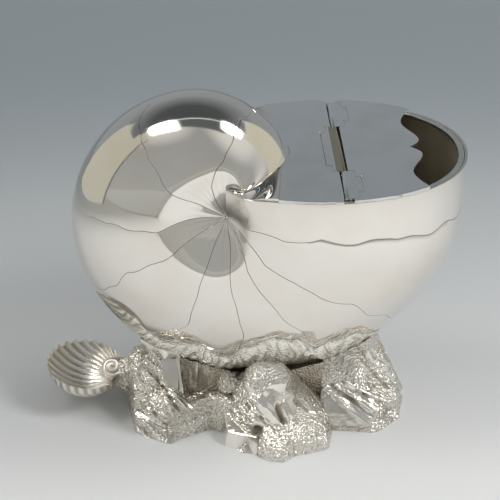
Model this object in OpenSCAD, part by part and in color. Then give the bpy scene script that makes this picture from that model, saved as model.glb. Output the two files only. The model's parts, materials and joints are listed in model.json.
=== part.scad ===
// Nautilus spoon warmer: a coiled silver shell with a hinged lid over its mouth, cradled on
// cast rockwork with a scallop handle. X runs from the handle to the mouth lip, Y to the back,
// Z up. The origin is on the table under the middle of the whole piece.

/* [Shell] */
// Reach of the mouth lip from the spiral axis
lip_r = 101.7; // [96:0.1:108]
// Keel radius where the coil runs into the cover plate
coil_r = 30.1; // [28:0.1:33]
// Half width of the shell at its umbilicus
half_w = 33.4; // [31:0.1:36]
// Distance of the widest part of the mouth from the spiral axis
mouth_shift = 42.2; // [39:0.1:45]
// Depth of the hollow round the umbilicus
funnel_d = 5.8; // [4:0.1:7]
// Reach of the hollow below the umbilicus
funnel_low = 31; // [28:0.5:33]
// Reach of the hollow above the umbilicus
funnel_high = 22; // [20:0.5:24]
// Reach of the hollow towards the mouth
funnel_mouth = 10; // [8:0.5:12]
// Height of the rim plane above the spiral axis
rim_rise = 10.8; // [9:0.1:12.5]
// Height of the spiral axis above the table
axis_h = 110; // [106:0.5:116]
// Thickness of the shell's silver sheet
wall = 1.2; // [0.9:0.1:1.6]
// Depth of the hollow throat beside the coil
throat_d = 7; // [4:0.5:9]

/* [Mouth and lid] */
// Thickness of the cover plate and the lid
plate_t = 1.4; // [1.2:0.1:1.8]
// Width of the flat band inside the lip
band_w = 2.4; // [1.5:0.1:4]
// Thickness of the band
band_t = 1.2; // [0.8:0.1:2]
// Reach of the lid's two rounded lobes from the spiral axis
lid_lobe_x = 82.3; // [80:0.1:86]
// Depth of the cusp between the lobes
lid_cusp = 4.5; // [2:0.1:7]
// Depth of the spoon hollows at each side of the lobes
lid_hollow = 5.7; // [3:0.1:8]
// Distance of each lobe from the middle
lobe_y = 6; // [4:0.5:9]
// Distance of each spoon hollow from the middle
hollow_y = 22.7; // [18:0.1:26]

/* [Hinge] */
// Distance of the hinge from the spiral axis
hinge_x = 48.2; // [44:0.1:54]
// Outside diameter of the knuckles
knuckle_d = 3; // [2.6:0.1:3.4]
// Length of the middle knuckle
knuckle_mid = 40; // [30:1:50]
// Distance of the ends of the row of knuckles from the outside of the lip
hinge_end = 2.9; // [2.4:0.1:8]
// Diameter of the hinge pin
pin_d = 1.2; // [0.9:0.1:1.4]
// Thickness of the inlaid leaves
leaf_t = 0.8; // [0.6:0.1:0.85]
// Reach of the leaves from the pin
leaf_w = 6.5; // [4.5:0.1:9]
// Narrow reach of the stepped part of a leaf
leaf_step = 4.2; // [3:0.1:4.4]

/* [Rockwork] */
// Thickness of the weed-edged saddle under the shell
saddle_t = 2.4; // [1.6:0.1:3.5]
// Coil angle at which the saddle ends under the lip
saddle_from = 46; // [42:1:52]
// Coil angle at which the saddle ends behind the coil
saddle_to = 138; // [128:1:144]
// Wall of the hollow castings
cast_wall = 2.4; // [1.8:0.1:3]
// Half width of the inner pedestal
core_y = 17; // [14:0.5:19]
// Diameter of the sea urchin in the rockwork
urchin_d = 10.4; // [8:0.1:12]

/* [Handle] */
// Reach of the handle's tip from the spiral axis
handle_reach = 77.5; // [72:0.5:84]
// Length of the scallop dish
dish_len = 33; // [28:0.5:36]
// Width of the scallop dish
dish_w = 40; // [34:0.5:46]
// Depth of the dish
dish_depth = 8; // [5:0.5:10]
// Height of the dish's rim above the table
dish_z = 20; // [17:0.5:24]
// Thickness of the dish
dish_t = 1.6; // [1.2:0.1:2.2]
// Number of flutes in the fan
flutes = 13; // [9:1:15]
// Height of the flutes
flute_h = 0.8; // [0.3:0.1:1.2]
// Diameter of the volute at the root of the fan
volute_d = 12; // [9:0.5:14]
// Diameter of the neck between the volute and the rock
neck_d = 6.6; // [5:0.1:8]
// Length of the neck, most of it let into the rock
neck_len = 12; // [9:0.5:15]

/* [Fixing] */
// Diameter of the stud under the shell
stud_d = 5; // [4:0.5:6]
// Clearance of the stud in its holes
stud_gap = 0.3; // [0.2:0.05:0.5]
// Diameter of the washer
washer_d = 12; // [10:0.5:14]
// Thickness of the washer
washer_t = 1.2; // [0.8:0.1:2]
// Width of the nut across its flats
nut_w = 8; // [7:0.5:10]
// Height of the nut
nut_h = 4; // [3:0.5:5]

/* [Hidden] */
// Clearance between curved pieces that are soldered to each other
fit_gap = 0.25;
// Radial clearance of the hinge pin in its knuckles
pin_gap = 0.05;
// End clearance between knuckles, and clearance round the inlaid leaves
leaf_gap = 0.2;
// Clearance under the closed lid
lid_gap = 0.1;
// Distance from the pin to the edges of the plate and the lid
edge_gap = knuckle_d / 2 + 0.6;
// How far the keel tucks under the rim plane at the end of the coil
keel_tuck = 0.5;
// Coil angle at which the keel meets the cover plate
coil_end = 360 - asin((rim_rise - keel_tuck) / coil_r);
// Coil angle over which the lip rises to the rim plane, and the same at the crease
lip_fade = 12;
crease_fade = 40;
// Shape of the keel's easing, and roundness of the section at the lip, the body and the crease
keel_ease = 1.06;
round_lip = 2.1;
round_body = 1.98;
round_crease = 1.6;
body_from = 90;
crease_from = 250;
// Half width from which the hollow has its full depth, and the coil angles at which its reach
// starts to widen below, to narrow above and to narrow towards the mouth, each with its turn
funnel_from = 15;
widen_at = [25, 85];
narrow_at = [150, 95];
close_at = [255, 70];
// Grid of the shell: columns in each fade, columns between, rows from keel to umbilicus
fade_n = 6;
body_n = 48;
row_n = 15;
// Larger than anything that it cuts
big = 400;
// Spiral axis in the part's frame: the whole length is centred
axis_x = (handle_reach - lip_r) / 2;
// Ends of the inner pedestal, from the spiral axis
core_x = [-8, 42];
// Clearance between the weed's seat and the rocks' tops
seat_gap = 0.2;
// Middle of the volute, its flat face towards the rock, and the rock's face behind it
volute_x = -handle_reach + dish_len - volute_d / 2 + 1.5;
neck_flat = 1;
handle_face = volute_x + volute_d / 2 - neck_flat;
rock_face = handle_face + 1.2;

// Spiral shell
// The keel eases from the lip to the end of the coil as the coil angle t turns clockwise
// from the lip, seen from the front.
function ease(u) = (1 - cos(180 * max(0, min(1, u)))) / 2;
function keel_r(t) = coil_r + (lip_r - coil_r) * pow(1 - ease(t / coil_end), keel_ease);
function mouth_c(t) = t < 180 ? mouth_shift * pow(cos(t / 2), 2) : 0;
function roundness(t) = round_lip - (round_lip - round_body) * ease(t / body_from)
    - (round_body - round_crease) * ease((t - crease_from) / (coil_end - crease_from));
// Half section at coil angle t: a superellipse arc from the keel (a = 0) to the axis (a = 1)
function span(t, grow) = keel_r(t) + grow - mouth_c(t);
function sweep(t, grow) = acos(-pow(mouth_c(t) / span(t, grow), roundness(t) / 2));
function widest(t, grow = 0) = (half_w + grow) / pow(sin(sweep(t, grow)), 2 / roundness(t));
function section(t, a, grow = 0) =
    let (n = roundness(t), g = a * sweep(t, grow))
    [mouth_c(t) + span(t, grow) * sign(cos(g)) * pow(abs(cos(g)), 2 / n),
        widest(t, grow) * pow(abs(sin(g)), 2 / n)];
function lip_lift(t) = rim_rise * (1 - ease(t / lip_fade));
function crease_lift(t) = rim_rise * ease((t - coil_end + crease_fade) / crease_fade);
// Hollow round the umbilicus, by place in the side view: its reach changes round the coil
function turn_share(t, at) = ease((t - at[0]) / at[1]);
function hollow_reach(t) = funnel_mouth + (funnel_low - funnel_mouth) * turn_share(t, widen_at)
    - (funnel_low - funnel_high) * turn_share(t, narrow_at)
    - (funnel_high - funnel_mouth) * turn_share(t, close_at);
function hollow(x, z) =
    funnel_d * pow(max(0, 1 - pow(norm([x, z]) / hollow_reach((360 + atan2(-z, x)) % 360), 3)), 2);
// Point of the front half, with side = 1 for the back half
function shell_at(t, a, grow = 0, side = -1) =
    let (s = section(t, a, grow), in = 1 - s[0] / (keel_r(t) + grow), x = s[0] * cos(t),
        z = -s[0] * sin(t) + lip_lift(t) + crease_lift(t) * in)
    [x, side * (s[1] - hollow(x, z) * min(1, pow(s[1] / funnel_from, 2))), z];
// Outward normal of the shell's front half, from two short chords
function shell_normal(t, a, side) =
    let (e = 0.02, u = shell_at(t + 1, a, 0, 1) - shell_at(t - 1, a, 0, 1),
        v = shell_at(t, a + e, 0, 1) - shell_at(t, max(0, a - e), 0, 1), n = cross(u, v))
    [n[0], side * n[1], n[2]] / norm(n);

function shell_angles() = concat(
    [for (i = [0 : fade_n - 1]) lip_fade * i / fade_n],
    [for (i = [0 : body_n - 1]) lip_fade + (coil_end - crease_fade - lip_fade) * i / body_n],
    [for (i = [0 : fade_n]) coil_end - crease_fade + crease_fade * i / fade_n]);
// Place on the umbilical line that column i ends in
function pole_of(i, last) = min(i, fade_n, last - i);
function pole_z(k) = rim_rise * (1 - ease(k / fade_n));
function quad(a, b, c, d) = [[a, b, c], [a, c, d]];

module shell_half() {
    t = shell_angles();
    last = len(t) - 1;
    poles = (last + 1) * row_n;
    layer = poles + fade_n + 1;
    points = [for (g = [0, -wall]) each concat(
        [for (i = [0 : last], j = [0 : row_n - 1]) shell_at(t[i], j / row_n, g)],
        [for (k = [0 : fade_n]) [0, hollow(0, pole_z(k)) - half_w - g, pole_z(k)]])];
    function at(i, j, side) = side * layer + (j < row_n ? i * row_n + j : poles + pole_of(i, last));
    skin = [for (i = [0 : last - 1], j = [0 : row_n - 1], f =
        j < row_n - 1 || pole_of(i, last) != pole_of(i + 1, last)
            ? quad(at(i, j, 0), at(i, j + 1, 0), at(i + 1, j + 1, 0), at(i + 1, j, 0))
            : [[at(i, j, 0), at(i, j + 1, 0), at(i + 1, j, 0)]]) f];
    lining = [for (f = skin) [f[2] + layer, f[1] + layer, f[0] + layer]];
    keel = [for (i = [0 : last - 1], f = quad(at(i, 0, 0), at(i + 1, 0, 0), at(i + 1, 0, 1), at(i, 0, 1))) f];
    lip = [for (j = [0 : row_n - 1], f = quad(at(0, j, 1), at(0, j + 1, 1), at(0, j + 1, 0), at(0, j, 0))) f];
    crease = [for (j = [0 : row_n - 1], f =
        quad(at(last, j, 0), at(last, j + 1, 0), at(last, j + 1, 1), at(last, j, 1))) f];
    polyhedron(points, concat(skin, lining, keel, lip, crease), convexity = 8);
}

// Everything on the shell is drawn from the spiral axis
module on_axis() { translate([axis_x, 0, axis_h]) children(); }
// Rockwork is drawn from the table under the spiral axis
module on_table() { translate([axis_x, 0, 0]) children(); }

module shell_front() { color("silver") on_axis() shell_half(); }
module shell_back() { color("silver") on_axis() mirror([0, 1, 0]) shell_half(); }

// Throat: a hollow sheet between the crease, the rim and the cover plate's left edge
throat_a = 0.36;
throat_x = 20;
throat_t = 0.9;
throat_nose = 0.2;
throat_n = 9;
// Share of the lip's half outline at which it reaches x, found by halving
function lip_share(x, lo = 0, hi = 1, n = 14) =
    let (mid = (lo + hi) / 2)
    n == 0 ? mid : section(0, mid)[0] > x ? lip_share(x, mid, hi, n - 1) : lip_share(x, lo, mid, n - 1);
function throat_at(u, v) =
    let (c = shell_at(coil_end, 1 - u * (1 - throat_a)),
        r = shell_at(0, 1 - u * (1 - lip_share(throat_x)), -wall),
        edge = fit_gap / norm(r - c), s = edge + (1 - 2 * edge) * v, p = c * (1 - s) + r * s,
        w = (u - throat_nose) / (1 - throat_nose))
    [p[0], p[1], rim_rise - keel_tuck - fit_gap - throat_d * sin(180 * v) * pow(sin(180 * pow(w, 0.8)), 0.8)];

module sheet_solid(top, cols, rows, drop) {
    layer = cols * rows;
    points = concat(top, [for (p = top) p - [0, 0, drop]]);
    function at(i, j, side) = side * layer + i * rows + j;
    face = [for (i = [0 : cols - 2], j = [0 : rows - 2], f =
        quad(at(i, j, 0), at(i, j + 1, 0), at(i + 1, j + 1, 0), at(i + 1, j, 0))) f];
    back = [for (f = face) [f[2] + layer, f[1] + layer, f[0] + layer]];
    ends = [for (i = [0 : cols - 2], f = concat(
        quad(at(i, 0, 0), at(i + 1, 0, 0), at(i + 1, 0, 1), at(i, 0, 1)),
        quad(at(i + 1, rows - 1, 0), at(i, rows - 1, 0), at(i, rows - 1, 1), at(i + 1, rows - 1, 1)))) f];
    sides = [for (j = [0 : rows - 2], f = concat(
        quad(at(0, j + 1, 0), at(0, j, 0), at(0, j, 1), at(0, j + 1, 1)),
        quad(at(cols - 1, j, 0), at(cols - 1, j + 1, 0), at(cols - 1, j + 1, 1), at(cols - 1, j, 1)))) f];
    polyhedron(points, concat(face, back, ends, sides), convexity = 6);
}
module throat_half() {
    sheet_solid([for (i = [0 : throat_n - 1], j = [0 : throat_n - 1])
        throat_at(throat_nose + (1 - throat_nose) * i / (throat_n - 1), j / (throat_n - 1))],
        throat_n, throat_n, throat_t);
}
module throat_front() { color("silver") on_axis() throat_half(); }
module throat_back() { color("silver") on_axis() mirror([0, 1, 0]) throat_half(); }

// Mouth
outline_n = 36;
function lip_outline(inset) = concat(
    [for (j = [0 : outline_n]) let (s = section(0, j / outline_n, -inset)) [s[0], -s[1]]],
    [for (j = [outline_n : -1 : 1]) section(0, j / outline_n, -inset)]);
module lip_slab(inset, z, h) { translate([0, 0, z]) linear_extrude(h) polygon(lip_outline(inset)); }
module right_of(x) { translate([x, -big / 2, -big / 2]) cube(big); }
module left_of(x) { translate([x - big, -big / 2, -big / 2]) cube(big); }

module mouth_band() {
    color("gainsboro") on_axis() difference() {
        intersection() {
            lip_slab(wall + fit_gap, rim_rise - band_t, band_t);
            right_of(throat_x + 3);
        }
        lip_slab(wall + fit_gap + band_w, -big / 2, big);
        translate([hinge_x - edge_gap, -hinge_len / 2 - leaf_gap, -big / 2])
            cube([2 * edge_gap, hinge_len + 2 * leaf_gap, big]);
    }
}

// Plan of the cover plate's left edge: along the crease, then straight across the throat
crease_n = 8;
function crease_plan() = [for (j = [0 : crease_n])
    let (p = shell_at(coil_end, throat_a * j / crease_n)) [p[0] + fit_gap, p[1]]];
function plate_plan() = let (edge = crease_plan(), tip = section(0, lip_share(throat_x)))
    concat(edge, [[throat_x, -tip[1] - 1], [hinge_x - edge_gap, -big / 4], [hinge_x - edge_gap, big / 4],
        [throat_x, tip[1] + 1]], [for (j = [crease_n : -1 : 1]) [edge[j][0], -edge[j][1]]]);
// Inlaid leaf on one side of the pin: a wide tab between y0 and y1 with a narrow step at each end
leaf_tab = 5;
module leaf_plan(y0, y1, side, grow) {
    x0 = side < 0 ? hinge_x - leaf_w - grow : hinge_x;
    s0 = side < 0 ? hinge_x - leaf_step - grow : hinge_x;
    translate([x0, y0 + leaf_tab - grow, rim_rise + plate_t - leaf_t])
        cube([leaf_w + grow, y1 - y0 - 2 * leaf_tab + 2 * grow, leaf_t + grow]);
    translate([s0, y0 - grow, rim_rise + plate_t - leaf_t])
        cube([leaf_step + grow, y1 - y0 + 2 * grow, leaf_t + grow]);
}
pin_z = rim_rise + plate_t - knuckle_d / 2;
hinge_len = 2 * (widest(0) - hinge_end);
outer_y = knuckle_mid / 2 + leaf_gap;
module along_y(y0, y1, d) {
    translate([hinge_x, y0, pin_z]) rotate([-90, 0, 0]) cylinder(h = y1 - y0, d = d, $fn = 48);
}
module knuckle_leaf(y0, y1, side) {
    difference() {
        union() {
            along_y(y0, y1, knuckle_d);
            leaf_plan(y0, y1, side, 0);
        }
        along_y(y0 - 1, y1 + 1, pin_d + 2 * pin_gap);
    }
}

module cover_plate() {
    color("lightsteelblue") on_axis() difference() {
        intersection() {
            lip_slab(0, rim_rise, plate_t);
            linear_extrude(big) polygon(plate_plan());
        }
        leaf_plan(-knuckle_mid / 2, knuckle_mid / 2, -1, leaf_gap);
    }
}
module cover_leaf() {
    color("tan") on_axis() knuckle_leaf(-knuckle_mid / 2, knuckle_mid / 2, -1);
}

// Lid edge at distance y from the middle: cusp, lobe, spoon hollow and rim
lid_n = 40;
function lid_edge(y) =
    let (a = abs(y), rise = lid_hollow * 0.86)
    a < lobe_y ? lid_lobe_x - lid_cusp * pow(1 - a / lobe_y, 1.6)
        : a < hollow_y ? lid_lobe_x - lid_hollow * ease((a - lobe_y) / (hollow_y - lobe_y))
        : lid_lobe_x - lid_hollow + rise * pow((a - hollow_y) / 12, 1.6);
function lid_plan() = let (reach = widest(0) + 1) concat(
    [for (k = [-lid_n : lid_n]) let (y = reach * k / lid_n) [lid_edge(y), y]],
    [[hinge_x + edge_gap, reach], [hinge_x + edge_gap, -reach]]);
module lid() {
    color("lightsteelblue") on_axis() difference() {
        intersection() {
            lip_slab(0, rim_rise + lid_gap, plate_t - lid_gap);
            linear_extrude(big) polygon(lid_plan());
        }
        for (side = [-1, 1])
            leaf_plan(min(side * outer_y, side * hinge_len / 2), max(side * outer_y, side * hinge_len / 2),
                1, leaf_gap);
    }
}
module lid_leaf() {
    color("lightsteelblue") on_axis() for (side = [-1, 1])
        knuckle_leaf(min(side * outer_y, side * hinge_len / 2), max(side * outer_y, side * hinge_len / 2), 1);
}
module hinge_pin() { color("tan") on_axis() along_y(-hinge_len / 2, hinge_len / 2, pin_d); }

// Saddle: a cast cradle of weed that follows the shell, with a waving edge
saddle_cols = 34;
saddle_rows = 13;
weed_waves = 3.3;
saddle_tip = 0.25;
function weed_edge(u) =
    (0.46 - 0.17 * u + 0.06 * cos(360 * weed_waves * (u - 0.28))) * max(0.45, min(1, pow(min(u, 1 - u) / 0.06, 0.5)));
function saddle_at(u, s, grow) =
    shell_at(saddle_from + (saddle_to - saddle_from) * u, abs(s) * weed_edge(u), grow, sign(s));
module saddle_body() {
    layer = saddle_cols * saddle_rows;
    function thick(u, s) =
        saddle_t * (1 - 0.45 * pow(s, 4)) * (saddle_tip + (1 - saddle_tip) * pow(sin(180 * u), 0.7));
    points = [for (side = [0, 1], i = [0 : saddle_cols - 1], j = [0 : saddle_rows - 1])
        let (u = i / (saddle_cols - 1), s = 2 * j / (saddle_rows - 1) - 1)
        saddle_at(u, s, fit_gap + side * thick(u, s))];
    function at(i, j, side) = side * layer + i * saddle_rows + j;
    inner = [for (i = [0 : saddle_cols - 2], j = [0 : saddle_rows - 2], f =
        quad(at(i, j, 0), at(i, j + 1, 0), at(i + 1, j + 1, 0), at(i + 1, j, 0))) f];
    outer = [for (f = inner) [f[2] + layer, f[1] + layer, f[0] + layer]];
    edges = [for (i = [0 : saddle_cols - 2], f = concat(
        quad(at(i, 0, 0), at(i + 1, 0, 0), at(i + 1, 0, 1), at(i, 0, 1)),
        quad(at(i + 1, saddle_rows - 1, 0), at(i, saddle_rows - 1, 0), at(i, saddle_rows - 1, 1),
            at(i + 1, saddle_rows - 1, 1)))) f];
    ends = [for (j = [0 : saddle_rows - 2], f = concat(
        quad(at(0, j + 1, 0), at(0, j, 0), at(0, j, 1), at(0, j + 1, 1)),
        quad(at(saddle_cols - 1, j, 0), at(saddle_cols - 1, j + 1, 0), at(saddle_cols - 1, j + 1, 1),
            at(saddle_cols - 1, j, 1)))) f];
    polyhedron(points, concat(inner, outer, edges, ends), convexity = 6);
}
module saddle() {
    color("darkkhaki") difference() {
        on_axis() saddle_body();
        stud_hole();
    }
}

// Rockwork
// Seat of a rock on the saddle: its point on the table frame and the saddle's outward normal there
function seat_point(seat) =
    shell_at(seat[0], abs(seat[1]), fit_gap + saddle_t + seat_gap, sign(seat[1])) + [0, 0, axis_h];
module beyond(p, n) {
    translate(p) rotate([0, acos(n[2]), atan2(n[1], n[0])]) translate([-big / 2, -big / 2, 0]) cube(big);
}
// Space behind a facet: [azimuth, lean from upright, reach and height of a point on it]
module facet(f, inset) {
    rotate([0, 0, f[0]]) translate([f[2], 0, f[3]]) rotate([0, -f[1], 0])
        translate([-big - inset, -big / 2, -big / 2]) cube(big);
}
module under_seat(seat, inset) {
    normal = shell_normal(seat[0], abs(seat[1]), sign(seat[1]));
    beyond(seat_point(seat) + inset * normal, normal);
}
// Crag: the space behind all of its facets round the heart, under the saddle's tangent plane at its seat
module crag(heart, c, inset = 0) {
    intersection() {
        under_seat(c[0], inset);
        translate(heart) intersection_for(f = c[1]) facet(f, inset);
    }
}
// Lump: planes that touch an ellipsoid with the given centre and radii, under its seat
lump_step = 60;
lump_leans = [0, 45];
function touch(az, lean, radii) =
    norm([cos(az) * cos(lean) * radii[0], sin(az) * cos(lean) * radii[1], sin(lean) * radii[2]]);
module lump(heart, l, inset = 0) {
    intersection() {
        under_seat(l[0], inset);
        translate(heart + l[1]) {
            intersection_for(az = [0 : lump_step : 300]) intersection_for(lean = lump_leans)
                rotate([0, 0, az]) rotate([0, -lean, 0])
                    translate([touch(az, lean, l[2]) - inset - big, -big / 2, -big / 2]) cube(big);
        }
        translate(heart + l[1] + [0, 0, l[2][2] - inset - big / 2]) cube(big, center = true);
    }
}
module slab(lo, hi, inset) {
    translate([lo[0] + inset, lo[1] + inset, inset > 0 ? -1 : 0])
        cube([hi[0] - lo[0] - 2 * inset, hi[1] - lo[1] - 2 * inset, big]);
}
// Hollow casting of joined crags and lumps, solid where its children are
module rock(heart, crags, lumps, lo, hi) {
    module body(inset) {
        intersection() {
            union() {
                for (c = crags) crag(heart, c, inset);
                for (l = lumps) lump(heart, l, inset);
            }
            slab(lo, hi, inset);
        }
    }
    difference() {
        body(0);
        difference() {
            body(cast_wall);
            children();
        }
    }
}
function heart_at(seat, offset) = let (p = seat_point(seat)) [p[0] + offset[0], p[1] + offset[1], 0];
function flip(facets) = [for (f = facets) [360 - f[0], f[1], f[2], f[3]]];

// Front rock: nose of the toe, right shelf, left block, ledge, faces under the dome, and the dome
front_seat = [77, -0.34];
front_heart = heart_at(front_seat, [1, -8]);
nose = [[226, 12, 13.5, 0], [259, 12, 18, 0], [307, 14, 18.5, 0], [265, 50, 9.5, 12.5], [215, 45, 8, 11],
    [320, 48, 11, 12], [0, 20, 18, 0], [180, 20, 12, 0]];
dome_faces = [[256, 21, 4.4, 25], [285, 14, 9.6, 12.7], [309, 32, 13, 12], [217, 24, 11, 11.5], [345, 20, 14, 13],
    [190, 14, 15, 9], [275, 58, 3.4, 26.5], [200, 50, 7, 24], [345, 50, 8, 24]];
front_crags = [[front_seat, nose],
    [front_seat, [[287, 12, 17.5, 0], [349, 8, 24.8, 0], [300, 46, 13.5, 11.5], [345, 42, 19, 12], [200, 20, 8, 0],
        [250, 40, 8, 8]]],
    [front_seat, [[239, 8, 14.4, 0], [186, 8, 19, 0], [232, 66, 10, 9], [300, 12, 9, 0], [20, 10, 6, 0]]],
    [front_seat, [[236, 8, 7.6, 0], [200, 80, 20, 15], [0, 10, 6, 0], [300, 10, 6, 0]]],
    [front_seat, dome_faces]];
front_lumps = [[front_seat, [0, 4.5, 26], [10.5, 8, 9.5]]];
back_seat = [front_seat[0], -front_seat[1]];
back_heart = heart_at(back_seat, [1, 8]);
back_crags = [[back_seat, flip(nose)], [back_seat, flip(dome_faces)]];
back_lumps = [[back_seat, [0, -4.5, 26], [10.5, 8, 9.5]]];

// Left rock: plinth, ledge, recess beside the pedestal, upper crag, rear crag, boss and shoulder.
// Its outer face stands behind the handle.
left_seat = [108, -0.25];
left_heart = heart_at(left_seat, [-1, 6]);
left_reach = left_heart[0] - rock_face - 1.5;
left_crags = [
    [left_seat, [[215, 4, 13.7, 0], [296, 4, 22, 0], [188, 4, left_reach, 0], [140, 8, 22, 0], [75, 8, 34, 0],
        [219, 58, 11, 7.5], [292, 62, 18, 8], [100, 70, 24, 9]]],
    [left_seat, [[294, 12, 21.3, 0], [180, 82, -12, 14.5], [240, 12, 16, 0], [90, 10, 8, 0], [180, 10, 8, 0]]],
    [[98, 0], [[274, 10, 4, 15], [90, 4, 27, 0], [180, 10, 8, 0], [90, 84, 4, 21]]],
    [left_seat, [[277, 32, 4.6, 33], [335, 10, 9, 24], [200, 38, 7.8, 30.5], [188, 4, left_reach, 12],
        [236, 26, 9.5, 24], [250, 74, 2, 36], [20, 10, 10, 20], [90, 10, 14, 20], [160, 30, 12, 28]]],
    [[left_seat[0], -left_seat[1]], [[170, 8, left_reach, 10], [130, 30, 24, 16], [84, 26, 28, 16], [45, 14, 24, 16],
        [100, 66, 18, 32], [230, 8, 8, 10], [300, 8, 8, 10]]]];
left_lumps = [[left_seat, [-1, -14, 13], [9, 8.5, 8.5]], [left_seat, [5.2 - left_reach - 1.5, 4, 18], [5.2, 9, 13]]];

// Right rock: low border, upper crag, rear crag and a boss
right_seat = [57, -0.2];
right_heart = heart_at(right_seat, [7, 11]);
right_crags = [
    [[right_seat[0], 0], [[262, 14, 24.3, 0], [304, 14, 22.8, 0], [331, 12, 19.2, 0], [346, 12, 19, 0],
        [20, 14, 19, 0], [60, 14, 30, 0], [98, 14, 36, 0], [262, 44, 18, 13], [325, 40, 16, 11], [60, 55, 20, 12]]],
    [right_seat, [[262, 28, 8.3, 31], [279, 34, 16, 17], [312, 32, 15, 13], [348, 20, 13.6, 17], [325, 40, 7.5, 28],
        [20, 20, 14, 17], [90, 8, 14, 20], [200, 72, 4, 34], [30, 66, 6, 32]]],
    [[right_seat[0], -right_seat[1]], [[98, 26, 26, 20], [60, 30, 24, 18], [25, 24, 16, 16], [130, 20, 24, 18],
        [90, 70, 14, 32], [250, 8, 8, 10], [320, 8, 10, 10]]]];
right_lumps = [[right_seat, [9, -9, 7], [8, 8, 7]]];

// Knobs that carry the saddle on the inner pedestal: seat, offset of the heart, facets
core_knobs = [
    [[93, -0.22], [4, 3], [[180, 7, 14, 0], [0, 11, 14, 0], [90, 11, 14, 0]]],
    [[66, -0.22], [-3, 3], [[180, 11, 13, 0], [0, 7, 13, 0], [90, 11, 14, 0]]],
    [[93, 0.22], [4, -3], [[180, 7, 14, 0], [0, 11, 14, 0], [270, 11, 14, 0]]],
    [[66, 0.22], [-3, -3], [[180, 11, 13, 0], [0, 7, 13, 0], [270, 11, 14, 0]]]];

module rock_left() {
    color("darkgray") on_table() difference() {
        rock(left_heart, left_crags, left_lumps, [-big, -big], [core_x[0], big])
            neck_bar(neck_d + 2 * (fit_gap + cast_wall), cast_wall);
        neck_bar(neck_d + 2 * fit_gap, fit_gap);
    }
}
module rock_front() {
    color("darkgray") on_table() difference() {
        rock(front_heart, front_crags, front_lumps, [core_x[0], -big], [core_x[1], -core_y])
            urchin_ball(urchin_d + 2 * (fit_gap + cast_wall));
        urchin_ball(urchin_d + 2 * fit_gap);
    }
}
module rock_right() {
    color("darkgray") on_table() rock(right_heart, right_crags, right_lumps, [core_x[1], -big], [big, big]) {}
}
module rock_back() {
    color("darkgray") on_table() rock(back_heart, back_crags, back_lumps, [core_x[0], core_y], [core_x[1], big]) {}
}

// Inner pedestal under the lowest part of the saddle, with the fixing stud through its roof
stud_t = 81;
roof_t = 3;
core_lift = 1;
stud_x = shell_at(stud_t, 0)[0];
core_top = axis_h + shell_at(stud_t, 0, fit_gap + saddle_t + seat_gap)[2] - 0.3;
module stud_hole() {
    on_table() translate([stud_x, 0, 0]) cylinder(h = axis_h, d = stud_d + 2 * stud_gap, $fn = 48);
}
module rock_core() {
    color("dimgray") difference() {
        on_table() difference() {
            union() {
                translate([core_x[0], -core_y, core_lift])
                    cube([core_x[1] - core_x[0], 2 * core_y, core_top - core_lift]);
                intersection() {
                    union() for (k = core_knobs) crag(heart_at(k[0], k[1]), [k[0], k[2]]);
                    translate([core_x[0], -core_y, core_lift]) cube([core_x[1] - core_x[0], 2 * core_y, big]);
                }
            }
            translate([core_x[0] + cast_wall, -core_y + cast_wall, 0])
                cube([core_x[1] - core_x[0] - 2 * cast_wall, 2 * (core_y - cast_wall), core_top - roof_t]);
        }
        stud_hole();
    }
}

// Urchin: a round boss on the pedestal's front, beside the front rock
urchin_x = 0.5;
urchin_rise = 5;
urchin_flat = 0.68;
urchin_n = 14;
module urchin_ball(d) {
    r = d / 2;
    span = 180 - acos(urchin_flat);
    translate([urchin_x, -core_y, core_top + urchin_rise]) rotate([90, 0, 0]) rotate_extrude($fn = 64)
        polygon(concat([[0, 0]], [for (k = [0 : urchin_n]) let (a = span * (1 - k / urchin_n))
            [r * sin(a), r * cos(a) + urchin_d / 2 * urchin_flat]]));
}
module urchin() { color("darkkhaki") on_table() urchin_ball(urchin_d); }

// Scallop handle: a fluted fan that spreads from a volute, carried by a neck in the left rock
fan_angle = 116;
fan_rows = 8;
fan_step = 4;
dish_x = -handle_reach + dish_len / 2;
function fan_reach(p) =
    let (ra = dish_len / 2, rb = dish_w / 2, o = volute_x - dish_x,
        a = pow(cos(p) / ra, 2) + pow(sin(p) / rb, 2), b = -2 * o * cos(p) / (ra * ra), c = pow(o / ra, 2) - 1)
    (-b + sqrt(b * b - 4 * a * c)) / (2 * a);
function fan_at(p, s) =
    let (r0 = volute_d / 2 + fit_gap, wave = cos(360 * flutes * p / (2 * fan_angle)),
        r = r0 + s * (fan_reach(p) - r0) * (1 - 0.025 + 0.025 * wave * s), x = volute_x - r * cos(p), y = r * sin(p),
        e = min(1, pow((x - dish_x) * 2 / dish_len, 2) + pow(y * 2 / dish_w, 2)))
    [x, y, dish_z - dish_depth * pow(1 - e, 0.9) + flute_h * s * (wave - 1)];
module handle_dish() {
    cols = flutes * fan_step + 1;
    color("silver") on_table() sheet_solid([for (i = [0 : cols - 1], j = [0 : fan_rows - 1])
        fan_at(fan_angle * (1 - 2 * i / (cols - 1)), j / (fan_rows - 1))], cols, fan_rows, dish_t);
}
volute_foot = 9;
module handle_volute() {
    r = volute_d / 2;
    color("silver") on_table() intersection() {
        translate([volute_x, 0, dish_z - dish_depth - dish_t]) rotate_extrude($fn = 64)
            polygon([[0, 0], [r * 0.75, 0], [r, r * 0.3], [r, volute_foot - 1.4], [r - 1.2, volute_foot],
                [r * 0.62, volute_foot], [r * 0.52, volute_foot - 0.8], [r * 0.42, volute_foot],
                [r * 0.3, volute_foot + 0.6], [0, volute_foot + 0.9]]);
        left_of(handle_face);
    }
}
neck_z = dish_z - dish_depth - dish_t + volute_foot / 2;
module neck_bar(d, longer = 0) {
    translate([handle_face, 0, neck_z]) rotate([0, 90, 0]) cylinder(h = neck_len + longer, d = d, $fn = 48);
}
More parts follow.
